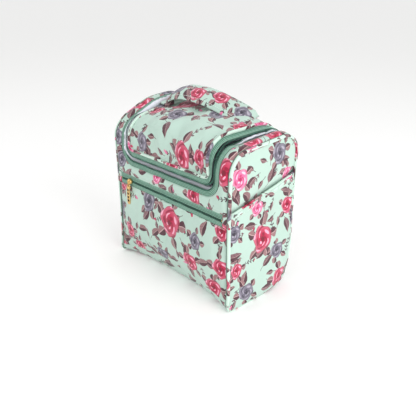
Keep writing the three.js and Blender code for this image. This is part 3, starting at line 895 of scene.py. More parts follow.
@dataclass(frozen=True)
class RibbedTape:
    """Woven zip tape with ribs that run along it, coloured with painted light: a painted highlight on
    each rib's crest and painted shade in each groove.
    """

    name: str = "zip_tape_green"
    # light is the painted highlight on the rib crests, dark the painted shade in the grooves.
    light: str = "8DBBA6"
    dark: str = "3C6A58"
    pitch: float = 0.0018

    def material(self) -> bpy.types.Material:
        """Build the finish."""
        g = Graph(self.name)
        u, v, _ = g.split(g.flat())
        ribs = (v * (2 * math.pi / self.pitch)).sin()
        weave = (u * (2 * math.pi / 0.0016)).sin()
        worn = g.cloud(g.flat(), 220.0)
        # Painted light and shade: light on each rib's crest, dark in each groove, shifted at random by
        # noise.
        factor = (ribs * 0.5 + 0.5 + (worn - 0.5) * 0.5).fade(0.1, 0.8)
        colour = g.mix(factor, tint(self.dark), tint(self.light))
        g.bump(ribs * 0.5 + weave * 0.2, 0.0006, 0.8)
        return g.surface(Base_Color=colour, Roughness=0.72 + worn * 0.15, Sheen_Weight=0.2)


@dataclass(frozen=True)
class PlainCloth:
    """Plain woven cloth: lining, thread or soft board covering."""

    name: str
    colour: str
    shade: str
    creases: float = 0.0016
    roughness: float = 0.7

    def material(self) -> bpy.types.Material:
        """Build the finish."""
        g = Graph(self.name)
        where = g.place()
        folds = g.cloud(where, 55.0, 4.0)
        threads = g.node("ShaderNodeTexWave", {"bands_direction": "DIAGONAL"},
                         {"Vector": where, "Scale": 380.0, "Distortion": 0.6})
        colour = g.mix(g.cloud(where, 30.0), tint(self.colour), tint(self.shade))
        g.bump(folds + threads * 0.08, self.creases, 0.7)
        return g.surface(Base_Color=colour, Roughness=self.roughness + folds * 0.1,
                         Sheen_Weight=0.15)


@dataclass(frozen=True)
class Moulded:
    """Moulded or cast parts: plastic, zip teeth and plated metal."""

    name: str
    colour: str
    shade: str
    metallic: float = 0.0
    roughness: float = 0.35
    grain: float = 900.0
    coat: float = 0.0
    glow: float = 0.0

    def material(self) -> bpy.types.Material:
        """Build the finish."""
        g = Graph(self.name)
        where = g.place()
        speck = g.cloud(where, self.grain, 3.0)
        patch = g.cloud(where, 90.0, 2.0)
        colour = g.mix(patch.fade(0.3, 0.75), tint(self.colour), tint(self.shade))
        g.bump(speck, 0.00008, 0.6)
        return g.surface(Base_Color=colour, Roughness=self.roughness + patch * 0.16 - 0.05,
                         Metallic=self.metallic, Coat_Weight=self.coat,
                         Emission_Color=(1.0, 1.0, 1.0, 1.0), Emission_Strength=self.glow)


@dataclass(frozen=True)
class NetCloth:
    """Fine net with round holes."""

    name: str = "net_grey"
    hole: float = 0.0009
    pitch: float = 0.0022

    def material(self) -> bpy.types.Material:
        """Build the finish."""
        g = Graph(self.name)
        x, y, _ = g.split(g.place())
        u = (x / self.pitch).wrap() - 0.5
        v = (y / self.pitch).wrap() - 0.5
        solid = (u * u + v * v) > (self.hole / self.pitch) ** 2
        tone = g.mix(g.cloud(g.place(), 200.0), tint("B9BEC4"), tint("989EA6"))
        return g.surface(Base_Color=tone, Roughness=0.75 + g.cloud(g.place(), 300.0) * 0.1,
                         Alpha=solid)


# ------------------------------------------------------------------ the bag's sub-assemblies
@dataclass
class Sizes:
    """The bag's main sizes, read from the frame where it gives them."""

    depth: float = 0.0
    rear: float = 0.0
    front: float = 0.210
    strip: float = 0.1157
    opening_half: float = 0.100
    opening_front: float = 0.150
    opening_radius: float = 0.026
    hinge_z: float = 0.150
    ajar: float = 2.5
    zip_z: float = 0.126
    tape_foot: float = 0.1178
    tape_head: float = 0.1342

    def __post_init__(self) -> None:
        """Take the depth and the rear height from the right side's piping."""
        low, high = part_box("side_piping_right")
        self.depth = high.y - low.y
        self.rear = high.z


@dataclass
class OpeningTrack:
    """The U-shaped line that the lid's zip follows, laid flat."""

    sizes: Sizes
    outline: Outline

    def stations(self, inset: float, h: float, step: float = 0.004,
                 flare: float = 0.0) -> list[tuple[Vector, Vector, Vector]]:
        """Places along the U with their directions.

        Args:
            inset: How far inside the opening's edge the line lies.
            h: How far out of the cloth it lies.
            step: The spacing along it.
            flare: The share of a slow waver in its height, in metres.

        Returns:
            Each place with its direction towards the lid's middle and its outward direction.
        """
        z = self.sizes
        radius = z.opening_radius - inset if inset < z.opening_radius - 0.002 else 0.002
        half, foot = z.opening_half - inset, self.outline.front_at(z.opening_front) + inset
        rear = self.outline.rear_at(z.hinge_z) - 0.0003
        flat: list[tuple[float, float, float, float]] = []
        count = int((rear - foot - radius) / step)
        for i in range(count):
            flat.append((-half, rear + (foot + radius - rear) * i / count, 1.0, 0.0))
        for i in range(12):
            a = math.pi + math.pi / 2 * i / 12
            flat.append((-half + radius + radius * math.cos(a),
                         foot + radius + radius * math.sin(a), -math.cos(a), -math.sin(a)))
        across = int(2 * (half - radius) / step)
        for i in range(across):
            flat.append((-half + radius + 2 * (half - radius) * i / across, foot, 0.0, 1.0))
        for i in range(13):
            a = math.pi * 1.5 + math.pi / 2 * i / 12
            flat.append((half - radius + radius * math.cos(a), foot + radius + radius * math.sin(a),
                         -math.cos(a), -math.sin(a)))
        for i in range(1, count + 1):
            flat.append((half, foot + radius + (rear - foot - radius) * i / count, -1.0, 0.0))
        found = []
        for x, s, nx, ns in flat:
            waver = flare * ripple(x * 45, s * 45, 3.0)
            found.append(self.outline.frame_at(x, s, h + waver, (nx, ns)))
        return found

    def row_half(self, s: float, inset: float) -> float:
        """Half the width of a plate inside the U at a distance along the walk."""
        z = self.sizes
        radius = max(z.opening_radius - inset, 0.002)
        down = s - (self.outline.front_at(z.opening_front) + inset)
        half = z.opening_half - inset
        if down >= radius:
            return half
        down = max(down, 0.0)
        return half - radius + math.sqrt(max(0.0, radius ** 2 - (radius - down) ** 2))


@dataclass
class Trade:
    """What every sub-assembly works with."""

    sizes: Sizes
    outline: Outline
    track: OpeningTrack
    maker: Maker
    finish: dict[str, bpy.types.Material]
    front_bow: float = 0.0145
    body_perk: float = 0.019
    lid_perk: float = 0.0075

    def slump(self, p: Vector) -> Vector:
        """Move a place on the body's shell to where soft cloth rests.

        Args:
            p: The place on the stiff outline.

        Returns:
            The place on the slumped bag.
        """
        half = self.sizes.depth / 2
        middle = max(0.0, 1 - (p.x / 0.118) ** 2)
        tuck = math.exp(-((p.y + half) ** 2 + p.z ** 2) / 0.034 ** 2) * middle
        lift = ease(-p.y, 0.046, half) * math.exp(-(p.z / 0.03) ** 2) * middle
        heel = math.exp(-((p.y - half) ** 2 + p.z ** 2) / 0.034 ** 2) * ease(abs(p.x), 0.03, 0.11)
        waist = 0.0022 * hump(min(1, max(0, p.z / 0.2))) * ease(abs(p.x), 0.09, 0.118)
        toe = math.exp(-((p.y + half) ** 2 + p.z ** 2) / 0.02 ** 2) * ease(abs(p.x), 0.08, 0.118)
        bow = lift * (self.front_bow - 0.05 * (p.x + 0.02) * (1 if p.x > -0.02 else -0.4))
        return self.perk(p + Vector((-math.copysign(waist + heel * 0.002, p.x),
                                     tuck * 0.006 - heel * 0.009 - toe * 0.003,
                                     bow + heel * 0.006 - toe * 0.003 * ease(p.z, 0.002, 0.006))),
                         self.body_perk)

    def perk(self, p: Vector, amount: float) -> Vector:
        """Raise the top's left rear, where the handle pulls the soft cloth up.

        Args:
            p: The place.
            amount: How far the highest place rises.

        Returns:
            The raised place.
        """
        share = (ease(0.118 - p.x, 0.02, 0.236) * ease(p.z, 0.125, 0.215)
                 * ease(p.y, -0.058, 0.01))
        return p + Vector((0.0, 0.0, amount * share))

    def lid_place(self, p: Vector) -> Vector:
        """Raise a place on the lid, which stays lower than the rim on the left."""
        return self.perk(p, self.lid_perk)

    def lip(self, p: Vector) -> float:
        """How far the lid's edge stands above the rim at a place, down to nothing at its seam."""
        rear = 1 - ease(p.y, 0.018, self.sizes.depth / 2 - 0.003)
        return (0.0010 + 0.0050 * ease(p.z, 0.172, 0.205) * ease(p.x, -0.09, 0.02)) * rear

    def panel(self, name: str, x: Point2, along: Point2, height: Callable[[float, float], float],
              step: float = 0.004) -> tuple[bpy.types.Object, list[int]]:
        """Lay a rectangular cloth panel on the outline.

        Args:
            name: The panel's name.
            x: Where it starts and ends across.
            along: Where it starts and ends along the walk.
            height: How far out each place stands, for (across, along) from 0 to 1.
            step: The spacing of its points.

        Returns:
            The panel and the numbers of the points on its edge.
        """
        columns = max(2, round((x[1] - x[0]) / step))
        rows_count = max(2, round((along[1] - along[0]) / step))
        rows, flat, held = [], [], []
        for j in range(rows_count + 1):
            v = j / rows_count
            s = along[0] + (along[1] - along[0]) * v
            row, lay = [], []
            for i in range(columns + 1):
                u = i / columns
                place = x[0] + (x[1] - x[0]) * u
                row.append(self.slump(self.outline.bend(place, s, height(u, v))))
                lay.append((place, s))
                if i in (0, columns) or j in (0, rows_count):
                    held.append(j * (columns + 1) + i)
            rows.append(row)
            flat.append(lay)
        return self.maker.grid(name, rows, flat), held


@dataclass
class Shell:
    """The printed cloth body: front pocket, rim round the opening, back and bottom."""

    trade: Trade
    thickness: float = 0.0018
    crown: float = 0.0035
    dent: float = 0.0035
    rim_puff: float = 0.0028
    rim_drop: float = 0.0022

    def build(self) -> None:
        """Make and dress every panel of the shell."""
        self.front_pocket()
        self.rim()
        self.back_and_bottom()
        self.zip_tabs()

    def front_height(self, u: float, v: float) -> float:
        """How far the front pocket's cloth stands out."""
        edge = min(u, 1 - u) * 0.231
        dent = (-self.dent * math.exp(-((edge - 0.016) / 0.006) ** 2) * hump(v)
                * (1 if u > 0.5 else 0.5))
        folds = 0.0019 * ripple(u * 7, v * 3.0, 2.0) + 0.0009 * ripple(u * 17, v * 4, 5.0)
        return (self.crown * (1 - abs(2 * u - 1) ** 4) * (0.35 + 0.65 * hump(v)) + dent
                - 0.0022 * (1 - ease(edge, 0.0, 0.01)) + folds * ease(edge, 0, 0.02))

    def front_pocket(self) -> None:
        """The large front pocket below the straight zip."""
        t = self.trade
        top = t.outline.front_at(t.sizes.tape_foot + 0.0008)
        panel, held = t.panel("front_pocket_cloth", (-t.sizes.strip, t.sizes.strip), (0.0, top),
                              self.front_height, 0.003)
        ClothSettler(growth=0.012, pressure=1.0, limit=0.005).settle(panel, held)
        t.maker.thicken(panel, self.thickness, 2)
        t.maker.dress(panel, "body", "print_fabric", t.finish["front"], ["front_pocket_panel"])
        for name, z in (("pocket_edge_stitches", t.sizes.tape_foot - 0.0016),
                        ("upper_edge_stitches", t.sizes.tape_head + 0.0020)):
            places = [-0.113 + 0.226 * i / 80 for i in range(81)]
            path = [t.slump(t.outline.bend(x, t.outline.front_at(z), 0.0006)) for x in places]
            row = t.maker.stitches(name, path, [Vector((0, -1, 0))] * 81)
            t.maker.dress(row, "body", "print_fabric", t.finish["thread"])

    def rim(self) -> None:
        """The printed rim that runs round the U-shaped opening, in one piece."""
        t, z = self.trade, self.trade.sizes
        inner = t.track.stations(0.0, 0.0, 0.004)
        foot = t.outline.front_at(z.tape_head - 0.0008)
        count = len(inner)
        rear = t.outline.rear_at(z.hinge_z)
        start, radius = t.outline.front_at(z.opening_front), z.opening_radius
        legs = [i for i, (_, side, _) in enumerate(inner) if abs(side.x) > 0.999]
        left_end = max(i for i in legs if i < count / 2)
        right_start = min(i for i in legs if i > count / 2)
        rows, flat, steps = [], [], 7
        edges: list[tuple[float, float, float, float]] = []
        leg_span = rear - start - radius
        for i in range(count):
            if i <= left_end:
                s = rear - leg_span * i / max(1, left_end)
                edges.append((-z.opening_half, s, -z.strip, s))
            elif i >= right_start:
                s = start + radius + leg_span * (i - right_start) / max(1, count - 1 - right_start)
                edges.append((z.opening_half, s, z.strip, s))
            else:
                edges.append(self.corner_edge(i, left_end, right_start, start, radius, foot))
        for k in range(steps + 1):
            w = k / steps
            row, lay = [], []
            for x0, s0, x1, s1 in edges:
                x, s = x0 + (x1 - x0) * w, s0 + (s1 - s0) * w
                puff = self.rim_puff * hump(w) + 0.0009 * ripple(x * 40, s * 40, 4.0) * hump(w)
                outer = abs(x1) > 0.11 and abs(x0 - x1) > 0.004
                drop = -self.rim_drop * ease(w, 0.8, 1.0) if outer else 0.0
                row.append(t.slump(t.outline.bend(x, s, puff + drop)))
                lay.append((x, s))
            rows.append(row)
            flat.append(lay)
        panel = t.maker.grid("opening_rim_cloth", rows[::-1], flat[::-1])
        t.maker.thicken(panel, self.thickness, 2)
        smooth = panel.modifiers.new("smooth", "SUBSURF")
        smooth.levels = smooth.render_levels = 1
        t.maker.dress(panel, "body", "print_fabric", t.finish["front"],
                      ["front_upper_panel", "top_rim_left", "top_rim_right"])

    def corner_edge(self, i: int, left_end: int, right_start: int, start: float, radius: float,
                    foot: float) -> tuple[float, float, float, float]:
        """The rim's inner and outer edge at a station round the front.

        Args:
            i: The station.
            left_end: The last station of the left leg.
            right_start: The first station of the right leg.
            start: Where the opening starts along the walk.
            radius: The opening's corner radius.
            foot: Where the rim's lower edge lies along the walk.

        Returns:
            The inner place and the outer place, each as (across, along).
        """
        z = self.trade.sizes
        turn, total = 12, right_start - left_end
        k = i - left_end
        if k < turn or total - k < turn:
            side = -1 if k < turn else 1
            share = (k if k < turn else total - k) / turn
            a = math.pi / 2 * share
            x0 = z.opening_half - radius + radius * math.cos(a)
            s0 = start + radius - radius * math.sin(a)
            if share < 0.5:
                x1, s1 = z.strip, start + radius + (foot - start - radius) * ease(share, 0, 0.5)
            else:
                x1 = z.strip + (z.opening_half - radius - z.strip) * ease(share, 0.5, 1.0)
                s1 = foot
            return side * x0, s0, side * x1, s1
        reach = z.opening_half - radius
        x = -reach + 2 * reach * (k - turn) / (total - 2 * turn)
        return x, start, x, foot

    def back_and_bottom(self) -> None:
        """The back panel and the bottom panel."""
        t, z = self.trade, self.trade.sizes
        top, foot = t.outline.rear_at(z.hinge_z - 0.001), t.outline.start_of(5)
        end = t.outline.length

        def back_height(u: float, v: float) -> float:
            """How far the back's cloth stands out."""
            folds = 0.0009 * ripple(u * 6, v * 5, 7.0)
            return 0.002 * hump(u) * hump(v) + folds * hump(u) - 0.002 * (abs(2 * u - 1) ** 12)

        def base_height(u: float, v: float) -> float:
            """How far the bottom's cloth stands in, so that it rests on its rim."""
            return -0.001 * hump(u) * hump(v) - 0.002 * (abs(2 * u - 1) ** 12)

        back, _ = t.panel("back_cloth", (-z.strip, z.strip), (top, foot), back_height)
        t.maker.thicken(back, self.thickness, 2)
        t.maker.dress(back, "body", "print_fabric", t.finish["back"], ["back_panel"])
        base, _ = t.panel("bottom_cloth", (-z.strip, z.strip), (foot, end), base_height)
        t.maker.thicken(base, self.thickness, 2)
        t.maker.dress(base, "body", "print_fabric", t.finish["back"], ["bottom_panel"])

    def zip_tabs(self) -> None:
        """The folded cloth tabs that finish the pocket zip's two ends."""
        t, z = self.trade, self.trade.sizes
        along = (t.outline.front_at(z.tape_foot), t.outline.front_at(z.tape_head))
        for side, span in (("left", (-z.strip, -0.1068)), ("right", (0.1068, z.strip))):
            tab, _ = t.panel(f"pocket_zip_end_{side}", span, along,
                             lambda u, v: 0.0014 * hump(u) * (0.6 + 0.4 * hump(v)), 0.0015)
            t.maker.thicken(tab, self.thickness, 2)
            t.maker.dress(tab, "body", "print_fabric", t.finish["front"],
                          [f"pocket_zip_tab_{side}"])


@dataclass
class Sides:
    """Both ends of the bag: gusset panels, open pockets, hems and piping."""

    trade: Trade
    panel_x: float = 0.1112
    upper_x: float = 0.1160
    pocket_x: float = 0.1186
    hem_front: float = 0.135
    hem_slope: float = 0.24
    hem_width: float = 0.009
    thickness: float = 0.0016

    def hem_at(self, y: float) -> float:
        """The height of the pocket's mouth at depth y."""
        return self.hem_front + self.hem_slope * (y + self.trade.sizes.depth / 2)

    def columns(self, inset: float) -> list[float]:
        """Depths across a side, closer together near its ends."""
        half = self.trade.sizes.depth / 2 - inset - 0.0003
        return [-half * math.cos(math.pi * i / 44) for i in range(45)]

    def build(self) -> None:
        """Make and dress both sides."""
        for name, sign in (("left", -1), ("right", 1)):
            self.gusset(name, sign)
            self.pocket(name, sign)
            self.piping(name, sign)

    def gusset(self, name: str, sign: int) -> None:
        """The printed side panel."""
        t = self.trade
        rows, flat = [], []
        for y in self.columns(0.003):
            low, high = t.outline.rise(y, 0.003)
            row, lay = [], []
            for k in range(61):
                z = low + (high - low) * k / 60
                edge = min(ease(z - low, 0, 0.02), ease(high - z, 0, 0.02),
                           ease(t.sizes.depth / 2 - 0.003 - abs(y), 0.0, 0.018))
                puff = 0.0012 * edge + 0.0012 * ripple(y * 30, z * 22, 8.0) * edge
                above = ease(z - self.hem_at(y), -0.002, 0.010)
                base = self.panel_x + (self.upper_x - self.panel_x) * above
                row.append(t.slump(Vector((sign * (base + puff), y, z))))
                lay.append((y * sign, z))
            rows.append(row)
            flat.append(lay)
        if sign < 0:
            rows, flat = rows[::-1], flat[::-1]
        panel = t.maker.grid(f"side_cloth_{name}", rows, flat)
        t.maker.thicken(panel, self.thickness)
        t.maker.dress(panel, "body", "print_fabric", t.finish["side"], [f"side_panel_{name}"])

    def pocket_bulge(self, y: float, v: float) -> float:
        """How far the side pocket's cloth stands out."""
        half = self.trade.sizes.depth / 2
        across = max(0.0, 1 - (y / (half - 0.004)) ** 2)
        folds = 0.0013 * ripple(y * 34, v * 3.2, 12.0) + 0.0007 * ripple(y * 80, v * 5, 3.0)
        return (0.0030 * across ** 0.8 * (1 - 0.45 * ease(v, 0.5, 1.0)) + folds * across
                - 0.0016 * (1 - ease(half - 0.002 - abs(y), 0, 0.008)))

    def pocket(self, name: str, sign: int) -> None:
        """The open pocket with its bound mouth."""
        t = self.trade
        rows, flat, held = [], [], []
        ys = self.columns(0.0025)
        steps = 46
        for j, y in enumerate(ys):
            low, _ = t.outline.rise(y, 0.0025)
            high = self.hem_at(y) - 0.001
            row, lay = [], []
            for k in range(steps + 1):
                v = k / steps
                z = low + (high - low) * v
                x = self.pocket_x + self.pocket_bulge(y, v) * ease(v, 0.0, 0.12)
                row.append(t.slump(Vector((sign * x, y, z))))
                lay.append((y * sign, z))
                if j in (0, len(ys) - 1) or k == 0:
                    held.append((j if sign > 0 else len(ys) - 1 - j) * (steps + 1) + k)
            rows.append(row)
            flat.append(lay)
        if sign < 0:
            rows, flat = rows[::-1], flat[::-1]
        panel = t.maker.grid(f"side_pocket_cloth_{name}", rows, flat)
        mouth = [j * (steps + 1) + steps for j in range(len(ys))]
        ClothSettler(growth=0.012, pressure=0.8, limit=0.004).settle(panel, held + mouth)
        t.maker.thicken(panel, self.thickness)
        t.maker.dress(panel, "body", "print_fabric", t.finish["side"],
                      [f"side_pocket_{name}", f"side_pocket_gusset_{name}"])
        self.hem(name, sign, ys)

    def hem(self, name: str, sign: int, ys: Sequence[float]) -> None:
        """The turned hem along the pocket's mouth, with its stitches."""
        t = self.trade
        w = self.hem_width
        section = [(-w, 0.0004), (-w * 0.6, 0.0011), (-w * 0.2, 0.0012), (0.0, 0.0009),
                   (0.0007, -0.0004), (0.0, -0.0022), (-w * 0.5, -0.0022), (-w, -0.0018)]
        places, line = [], []
        for y in ys:
            x = self.pocket_x + self.pocket_bulge(y, 1.0)
            point = t.slump(Vector((sign * x, y, self.hem_at(y))))
            places.append((point, Vector((0, 0, 1)), Vector((sign, 0, 0))))
            line.append(t.slump(Vector((sign * (x + 0.0012), y, self.hem_at(y) - w * 0.78))))
        band = t.maker.ribbon(f"side_hem_{name}", places, section)
        t.maker.dress(band, "body", "print_fabric", t.finish["trim"], [f"side_pocket_hem_{name}"])
        row = t.maker.stitches(f"side_hem_stitches_{name}", line,
                               [Vector((sign, 0, 0))] * len(line))
        t.maker.dress(row, "body", "print_fabric", t.finish["thread"])

    def piping(self, name: str, sign: int) -> None:
        """The piping in the seam round the side."""
        t = self.trade
        path = [t.slump(Vector((sign * 0.1178, p.x, p.y))) for p in t.outline.ring(0.0020, 0.003)]
        cord = t.maker.tube(f"piping_cloth_{name}", path, 0.0023, 10, closed=True)
        t.maker.dress(cord, "body", "print_fabric", t.finish["trim"], [f"side_piping_{name}"])
        seam = [t.slump(Vector((sign * 0.1158, p.x, p.y))) for p in t.outline.ring(0.0006, 0.003)]
        line = t.maker.tube(f"piping_seam_{name}", seam, 0.0007, 6, closed=True)
        t.maker.dress(line, "body", "print_fabric", t.finish["seam"])


@dataclass
class Zips:
    """The straight pocket zip and the zip round the lid."""

    trade: Trade
    lid_turn: Matrix
    pocket_tape: float = 0.0068
    opening_tape: float = 0.0060
    lid_tape: float = 0.0086
    tooth: float = 0.0017
    tooth_length: float = 0.0026
    tooth_radius: float = 0.00062

    def build(self) -> None:
        """Make and dress both zips."""
        self.pocket_zip()
        self.body_side()
        self.lid_side()

    def section(self, width: float, lift: float = 0.0, ribs: int = 3) -> list[Point2]:
        """The cross-section of a ribbed tape, from its sewn edge to its teeth."""
        top = []
        for i in range(ribs * 6 + 1):
            w = i / (ribs * 6)
            top.append((w * width, lift + 0.0004 * abs(math.sin(math.pi * ribs * w))))
        return top + [(width, lift - 0.0008), (0.0, lift - 0.0008)]

    def pocket_zip(self) -> None:
        """Tapes and teeth of the straight zip."""
        t, z = self.trade, self.trade.sizes
        places = [-0.1075 + 0.215 * i / 90 for i in range(91)]
        for level, sign in (("lower", -1), ("upper", 1)):
            edge = z.zip_z + sign * 0.0083
            stations, teeth = [], []
            for x in places:
                waver = 0.0007 * ripple(x * 55, 4.0, 1.0) + 0.0004 * ripple(x * 130, 2.0, 1.0)
                s = t.outline.front_at(edge)
                place, side, out = t.outline.frame_at(x, s, 0.0004 + waver * 0.8,
                                                      (0.0, -float(sign)))
                stations.append((t.slump(place) + Vector((0, 0, waver)), side, out))
                seat = t.outline.bend(x, t.outline.front_at(z.zip_z + sign * 0.0014), 0.0)
                teeth.append(t.slump(seat) + Vector((0, -waver * 0.8, waver)))
            band = t.maker.ribbon(f"pocket_tape_{level}", stations, self.section(self.pocket_tape))
            t.maker.dress(band, "body", "zip_tape", t.finish["tape"], [f"pocket_zip_tape_{level}"])
            coil = t.maker.stitches(f"pocket_teeth_{level}", teeth,
                                    [Vector((0, -1, 0))] * len(teeth), self.tooth,
                                    self.tooth_length, self.tooth_radius, crosswise=True)
            t.maker.dress(coil, "body", "zip_coil", t.finish["teeth"], [f"pocket_zip_coil_{level}"])

    def row(self, name: str, inset: float, h: float, body: str, turn: bool, node: str) -> None:
        """Lay the teeth of one side of the lid's zip.

        Args:
            name: The piece's name.
            inset: How far inside the opening's edge it runs.
            h: How far out of the cloth it lies.
            body: The body it rides on.
            turn: Whether it is on the lid, which stands a little open.
            node: The frame's node it stands for.
        """
        t = self.trade
        stations = t.track.stations(inset, h, 0.003, 0.0006)
        path = [t.lid_place(p) if turn else t.slump(p) for p, _, _ in stations]
        teeth = t.maker.stitches(name, path, [out for _, _, out in stations], self.tooth,
                                 self.tooth_length, self.tooth_radius, crosswise=True)
        if turn:
            teeth.data.transform(self.lid_turn)
        t.maker.dress(teeth, body, "zip_coil", t.finish["teeth"], [node])

    def on_right_leg(self, p: Vector, side: Vector) -> float:
        """How far a place is along the opening's right leg on the top, from 0 to 1."""
        return ease(p.x, 0.07, 0.09) * abs(side.x) * ease(p.y, -0.045, -0.01)

    def body_side(self) -> None:
        """The tape and teeth sewn to the body, and the lining that shows in the gap."""
        t = self.trade
        stations = [(t.slump(p - out * 0.0034 * self.on_right_leg(p, side)), side, out)
                    for p, side, out in t.track.stations(0.0, 0.0008, 0.003, 0.0008)]
        band = t.maker.ribbon("opening_tape", stations, self.section(self.opening_tape))
        t.maker.dress(band, "body", "zip_tape", t.finish["tape"], ["body_zip_tape"])
        self.row("opening_teeth", 0.0071, 0.0002, "body", False, "body_zip_coil")
        crease = [0.0011 * ripple(i * 0.55, 3.0, 6.0) for i in range(600)]
        under = t.track.stations(0.0050, -0.0050, 0.003, 0.0012)
        welt = [(0.0, 0.0), (0.002, 0.0006), (0.0042, 0.0003), (0.0052, -0.002), (0.0050, -0.009),
                (0.0042, -0.009), (0.0040, -0.0024), (0.0, -0.0012)]
        places = []
        for i, (p, side, out) in enumerate(under):
            leg = max(self.on_right_leg(p, side), ease(-p.x, 0.06, 0.09) * abs(side.x))
            places.append((t.slump(p) + out * (crease[i % 600] + 0.0055 * leg), side, out))
        strip = t.maker.ribbon("opening_lining_welt", places, welt)
        t.maker.dress(strip, "body", "lining_fabric", t.finish["lining"])

    def lid_side(self) -> None:
        """The tape and teeth sewn to the lid."""
        t = self.trade
        stations = [(t.lid_place(p) + side * (0.0056 * abs(side.x) - 0.0012), side, out)
                    for p, side, out in t.track.stations(0.0094, 0.0004, 0.003, 0.0006)]
        section = self.section(self.lid_tape, 0.0, 4)

        def slope(i: int, k: int) -> Vector:
            """Raise the tape towards the lid's edge."""
            place, side, out = stations[i]
            wide = section[k][0]
            rise = t.lip(place) * wide / self.lid_tape + 0.0006 * ripple(i * 0.21, wide * 90, 2.0)
            return out * rise - side * (wide * 0.40 * abs(side.x))

        band = t.maker.ribbon("lid_tape", stations, section, shift=slope)
        band.data.transform(self.lid_turn)
        t.maker.dress(band, "lid", "zip_tape", t.finish["tape"], ["lid_zip_tape"])
        self.row("lid_teeth", 0.0092, 0.0004, "lid", True, "lid_zip_coil")


@dataclass
class Lid:
    """The lid: printed panel, lining, piping round its edge and the handle's tabs."""

    trade: Trade
    lid_turn: Matrix
    panel_inset: float = 0.0198
    piping_inset: float = 0.0184
    piping_radius: float = 0.0021
    thickness: float = 0.0020
    lining_depth: float = 0.0042
    lining_thickness: float = 0.0008
    tab_thickness: float = 0.0032
    tab_shift: float = -0.014
    sag: float = 0.0050
    crown: float = 0.0042
    rear_crown: float = 0.0045

    def build(self) -> None:
        """Make and dress the lid."""
        self.panel()
        self.cord()
        self.lining()
        self.tabs()

    def plate(self, name: str, inset: float, height: Callable[[float, float], float],
              rows_count: int = 96, columns: int = 56) -> tuple[bpy.types.Object, list[int]]:
        """Lay a plate inside the U of the zip.

        Args:
            name: The piece's name.
            inset: How far in from the opening's edge it ends.
            height: How far out each place stands, for (across -1..1, along 0..1).
            rows_count: How many rows it has.
            columns: How many columns it has.

        Returns:
            The plate and the numbers of the points on its edge.
        """
        t, z = self.trade, self.trade.sizes
        first = t.outline.front_at(z.opening_front) + inset
        last = t.outline.rear_at(z.hinge_z)
        rows, flat, held = [], [], []
        for j in range(rows_count + 1):
            v = (j / rows_count) ** 1.35
            s = first + (last - first) * v
            half = t.track.row_half(s, inset)
            row, lay = [], []
            for i in range(columns + 1):
                u = 2 * i / columns - 1
                u = math.sin(u * math.pi / 2) * 0.35 + u * 0.65
                flat_place, _, out = t.outline.frame_at(half * u, s, 0.0, (0.0, 1.0))
                row.append(t.lid_place(flat_place) + out * (height(u, v) + t.lip(flat_place)))
                lay.append((half * u, s))
                if i in (0, columns) or j in (0, rows_count):
                    held.append(j * (columns + 1) + i)
            rows.append(row)
            flat.append(lay)
        return t.maker.grid(name, rows, flat), held

    def panel_height(self, u: float, v: float) -> float:
        """How far the lid's cloth stands out: crowned, with a sag in the middle."""
        edge = (1 - abs(u) ** 6) * ease(v, 0.0, 0.06) * ease(1 - v, 0.0, 0.05)
        sag = -self.sag * math.exp(-((v - 0.42) / 0.16) ** 2) * (1 - u * u)
        crown = self.crown * (1 - abs(u) ** 2.5) * hump(min(1.0, v * 1.05))
        crown += self.rear_crown * math.exp(-((v - 0.62) / 0.1) ** 2)
        folds = 0.0026 * ripple(u * 3.2, v * 6.5, 9.0) + 0.0009 * ripple(u * 7, v * 15, 2.0)
        return (sag + crown + folds) * edge

    def panel(self) -> None:
        """The printed panel."""
        t = self.trade
        panel, held = self.plate("lid_cloth", self.panel_inset, self.panel_height)
        ClothSettler(growth=0.012, pressure=0.6, limit=0.004).settle(panel, held)
        panel.data.transform(self.lid_turn)
        t.maker.thicken(panel, self.thickness, 2)
        t.maker.dress(panel, "lid", "print_fabric", t.finish["lid"], ["lid_panel"])

    def cord(self) -> None:
        """The piping round the panel."""
        t = self.trade
        path = [t.lid_place(p) + out * t.lip(p)
                for p, _, out in t.track.stations(self.piping_inset, 0.0008, 0.003, 0.0006)]
        cord = t.maker.tube("lid_piping_cloth", path, self.piping_radius, 10)
        cord.data.transform(self.lid_turn)
        t.maker.dress(cord, "lid", "print_fabric", t.finish["trim"], ["lid_piping"])

    def lining(self) -> None:
        """The white lining under the panel."""
        t = self.trade
        sheet, _ = self.plate("lid_lining_cloth", self.panel_inset + 0.002,
                              lambda u, v: -self.lining_depth + 0.0006 * ripple(u * 8, v * 12, 5.0),
                              60, 36)
        sheet.data.transform(self.lid_turn)
        t.maker.thicken(sheet, self.lining_thickness)
        t.maker.dress(sheet, "lid", "lining_fabric", t.finish["lining"], ["lid_lining"])

    def tabs(self) -> None:
        """The printed tabs that hold the handle's two ends."""
        t = self.trade
        for name in ("left", "right"):
            low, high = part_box(f"handle_tab_{name}")
            rows, flat = [], []
            for j in range(15):
                v = j / 14
                s = t.outline.top_at(-0.004 + 0.038 * v)
                row, lay = [], []
                for i in range(13):
                    u = i / 12
                    x = low.x + (high.x - low.x) * u + self.tab_shift
                    edge = ease(min(u, 1 - u), 0, 0.2) * ease(min(v, 1 - v), 0, 0.15)
                    place, _, out = t.outline.frame_at(x, s, 0.0, (0.0, 1.0))
                    row.append(t.lid_place(place) + out * (0.0066 + 0.0016 * edge))
                    lay.append((x, s))
                rows.append(row)
                flat.append(lay)
            tab = t.maker.grid(f"handle_tab_cloth_{name}", rows, flat)
            tab.data.transform(self.lid_turn)
            t.maker.thicken(tab, self.tab_thickness, 2)
            t.maker.dress(tab, "lid", "print_fabric", t.finish["handle"], [f"handle_tab_{name}"])


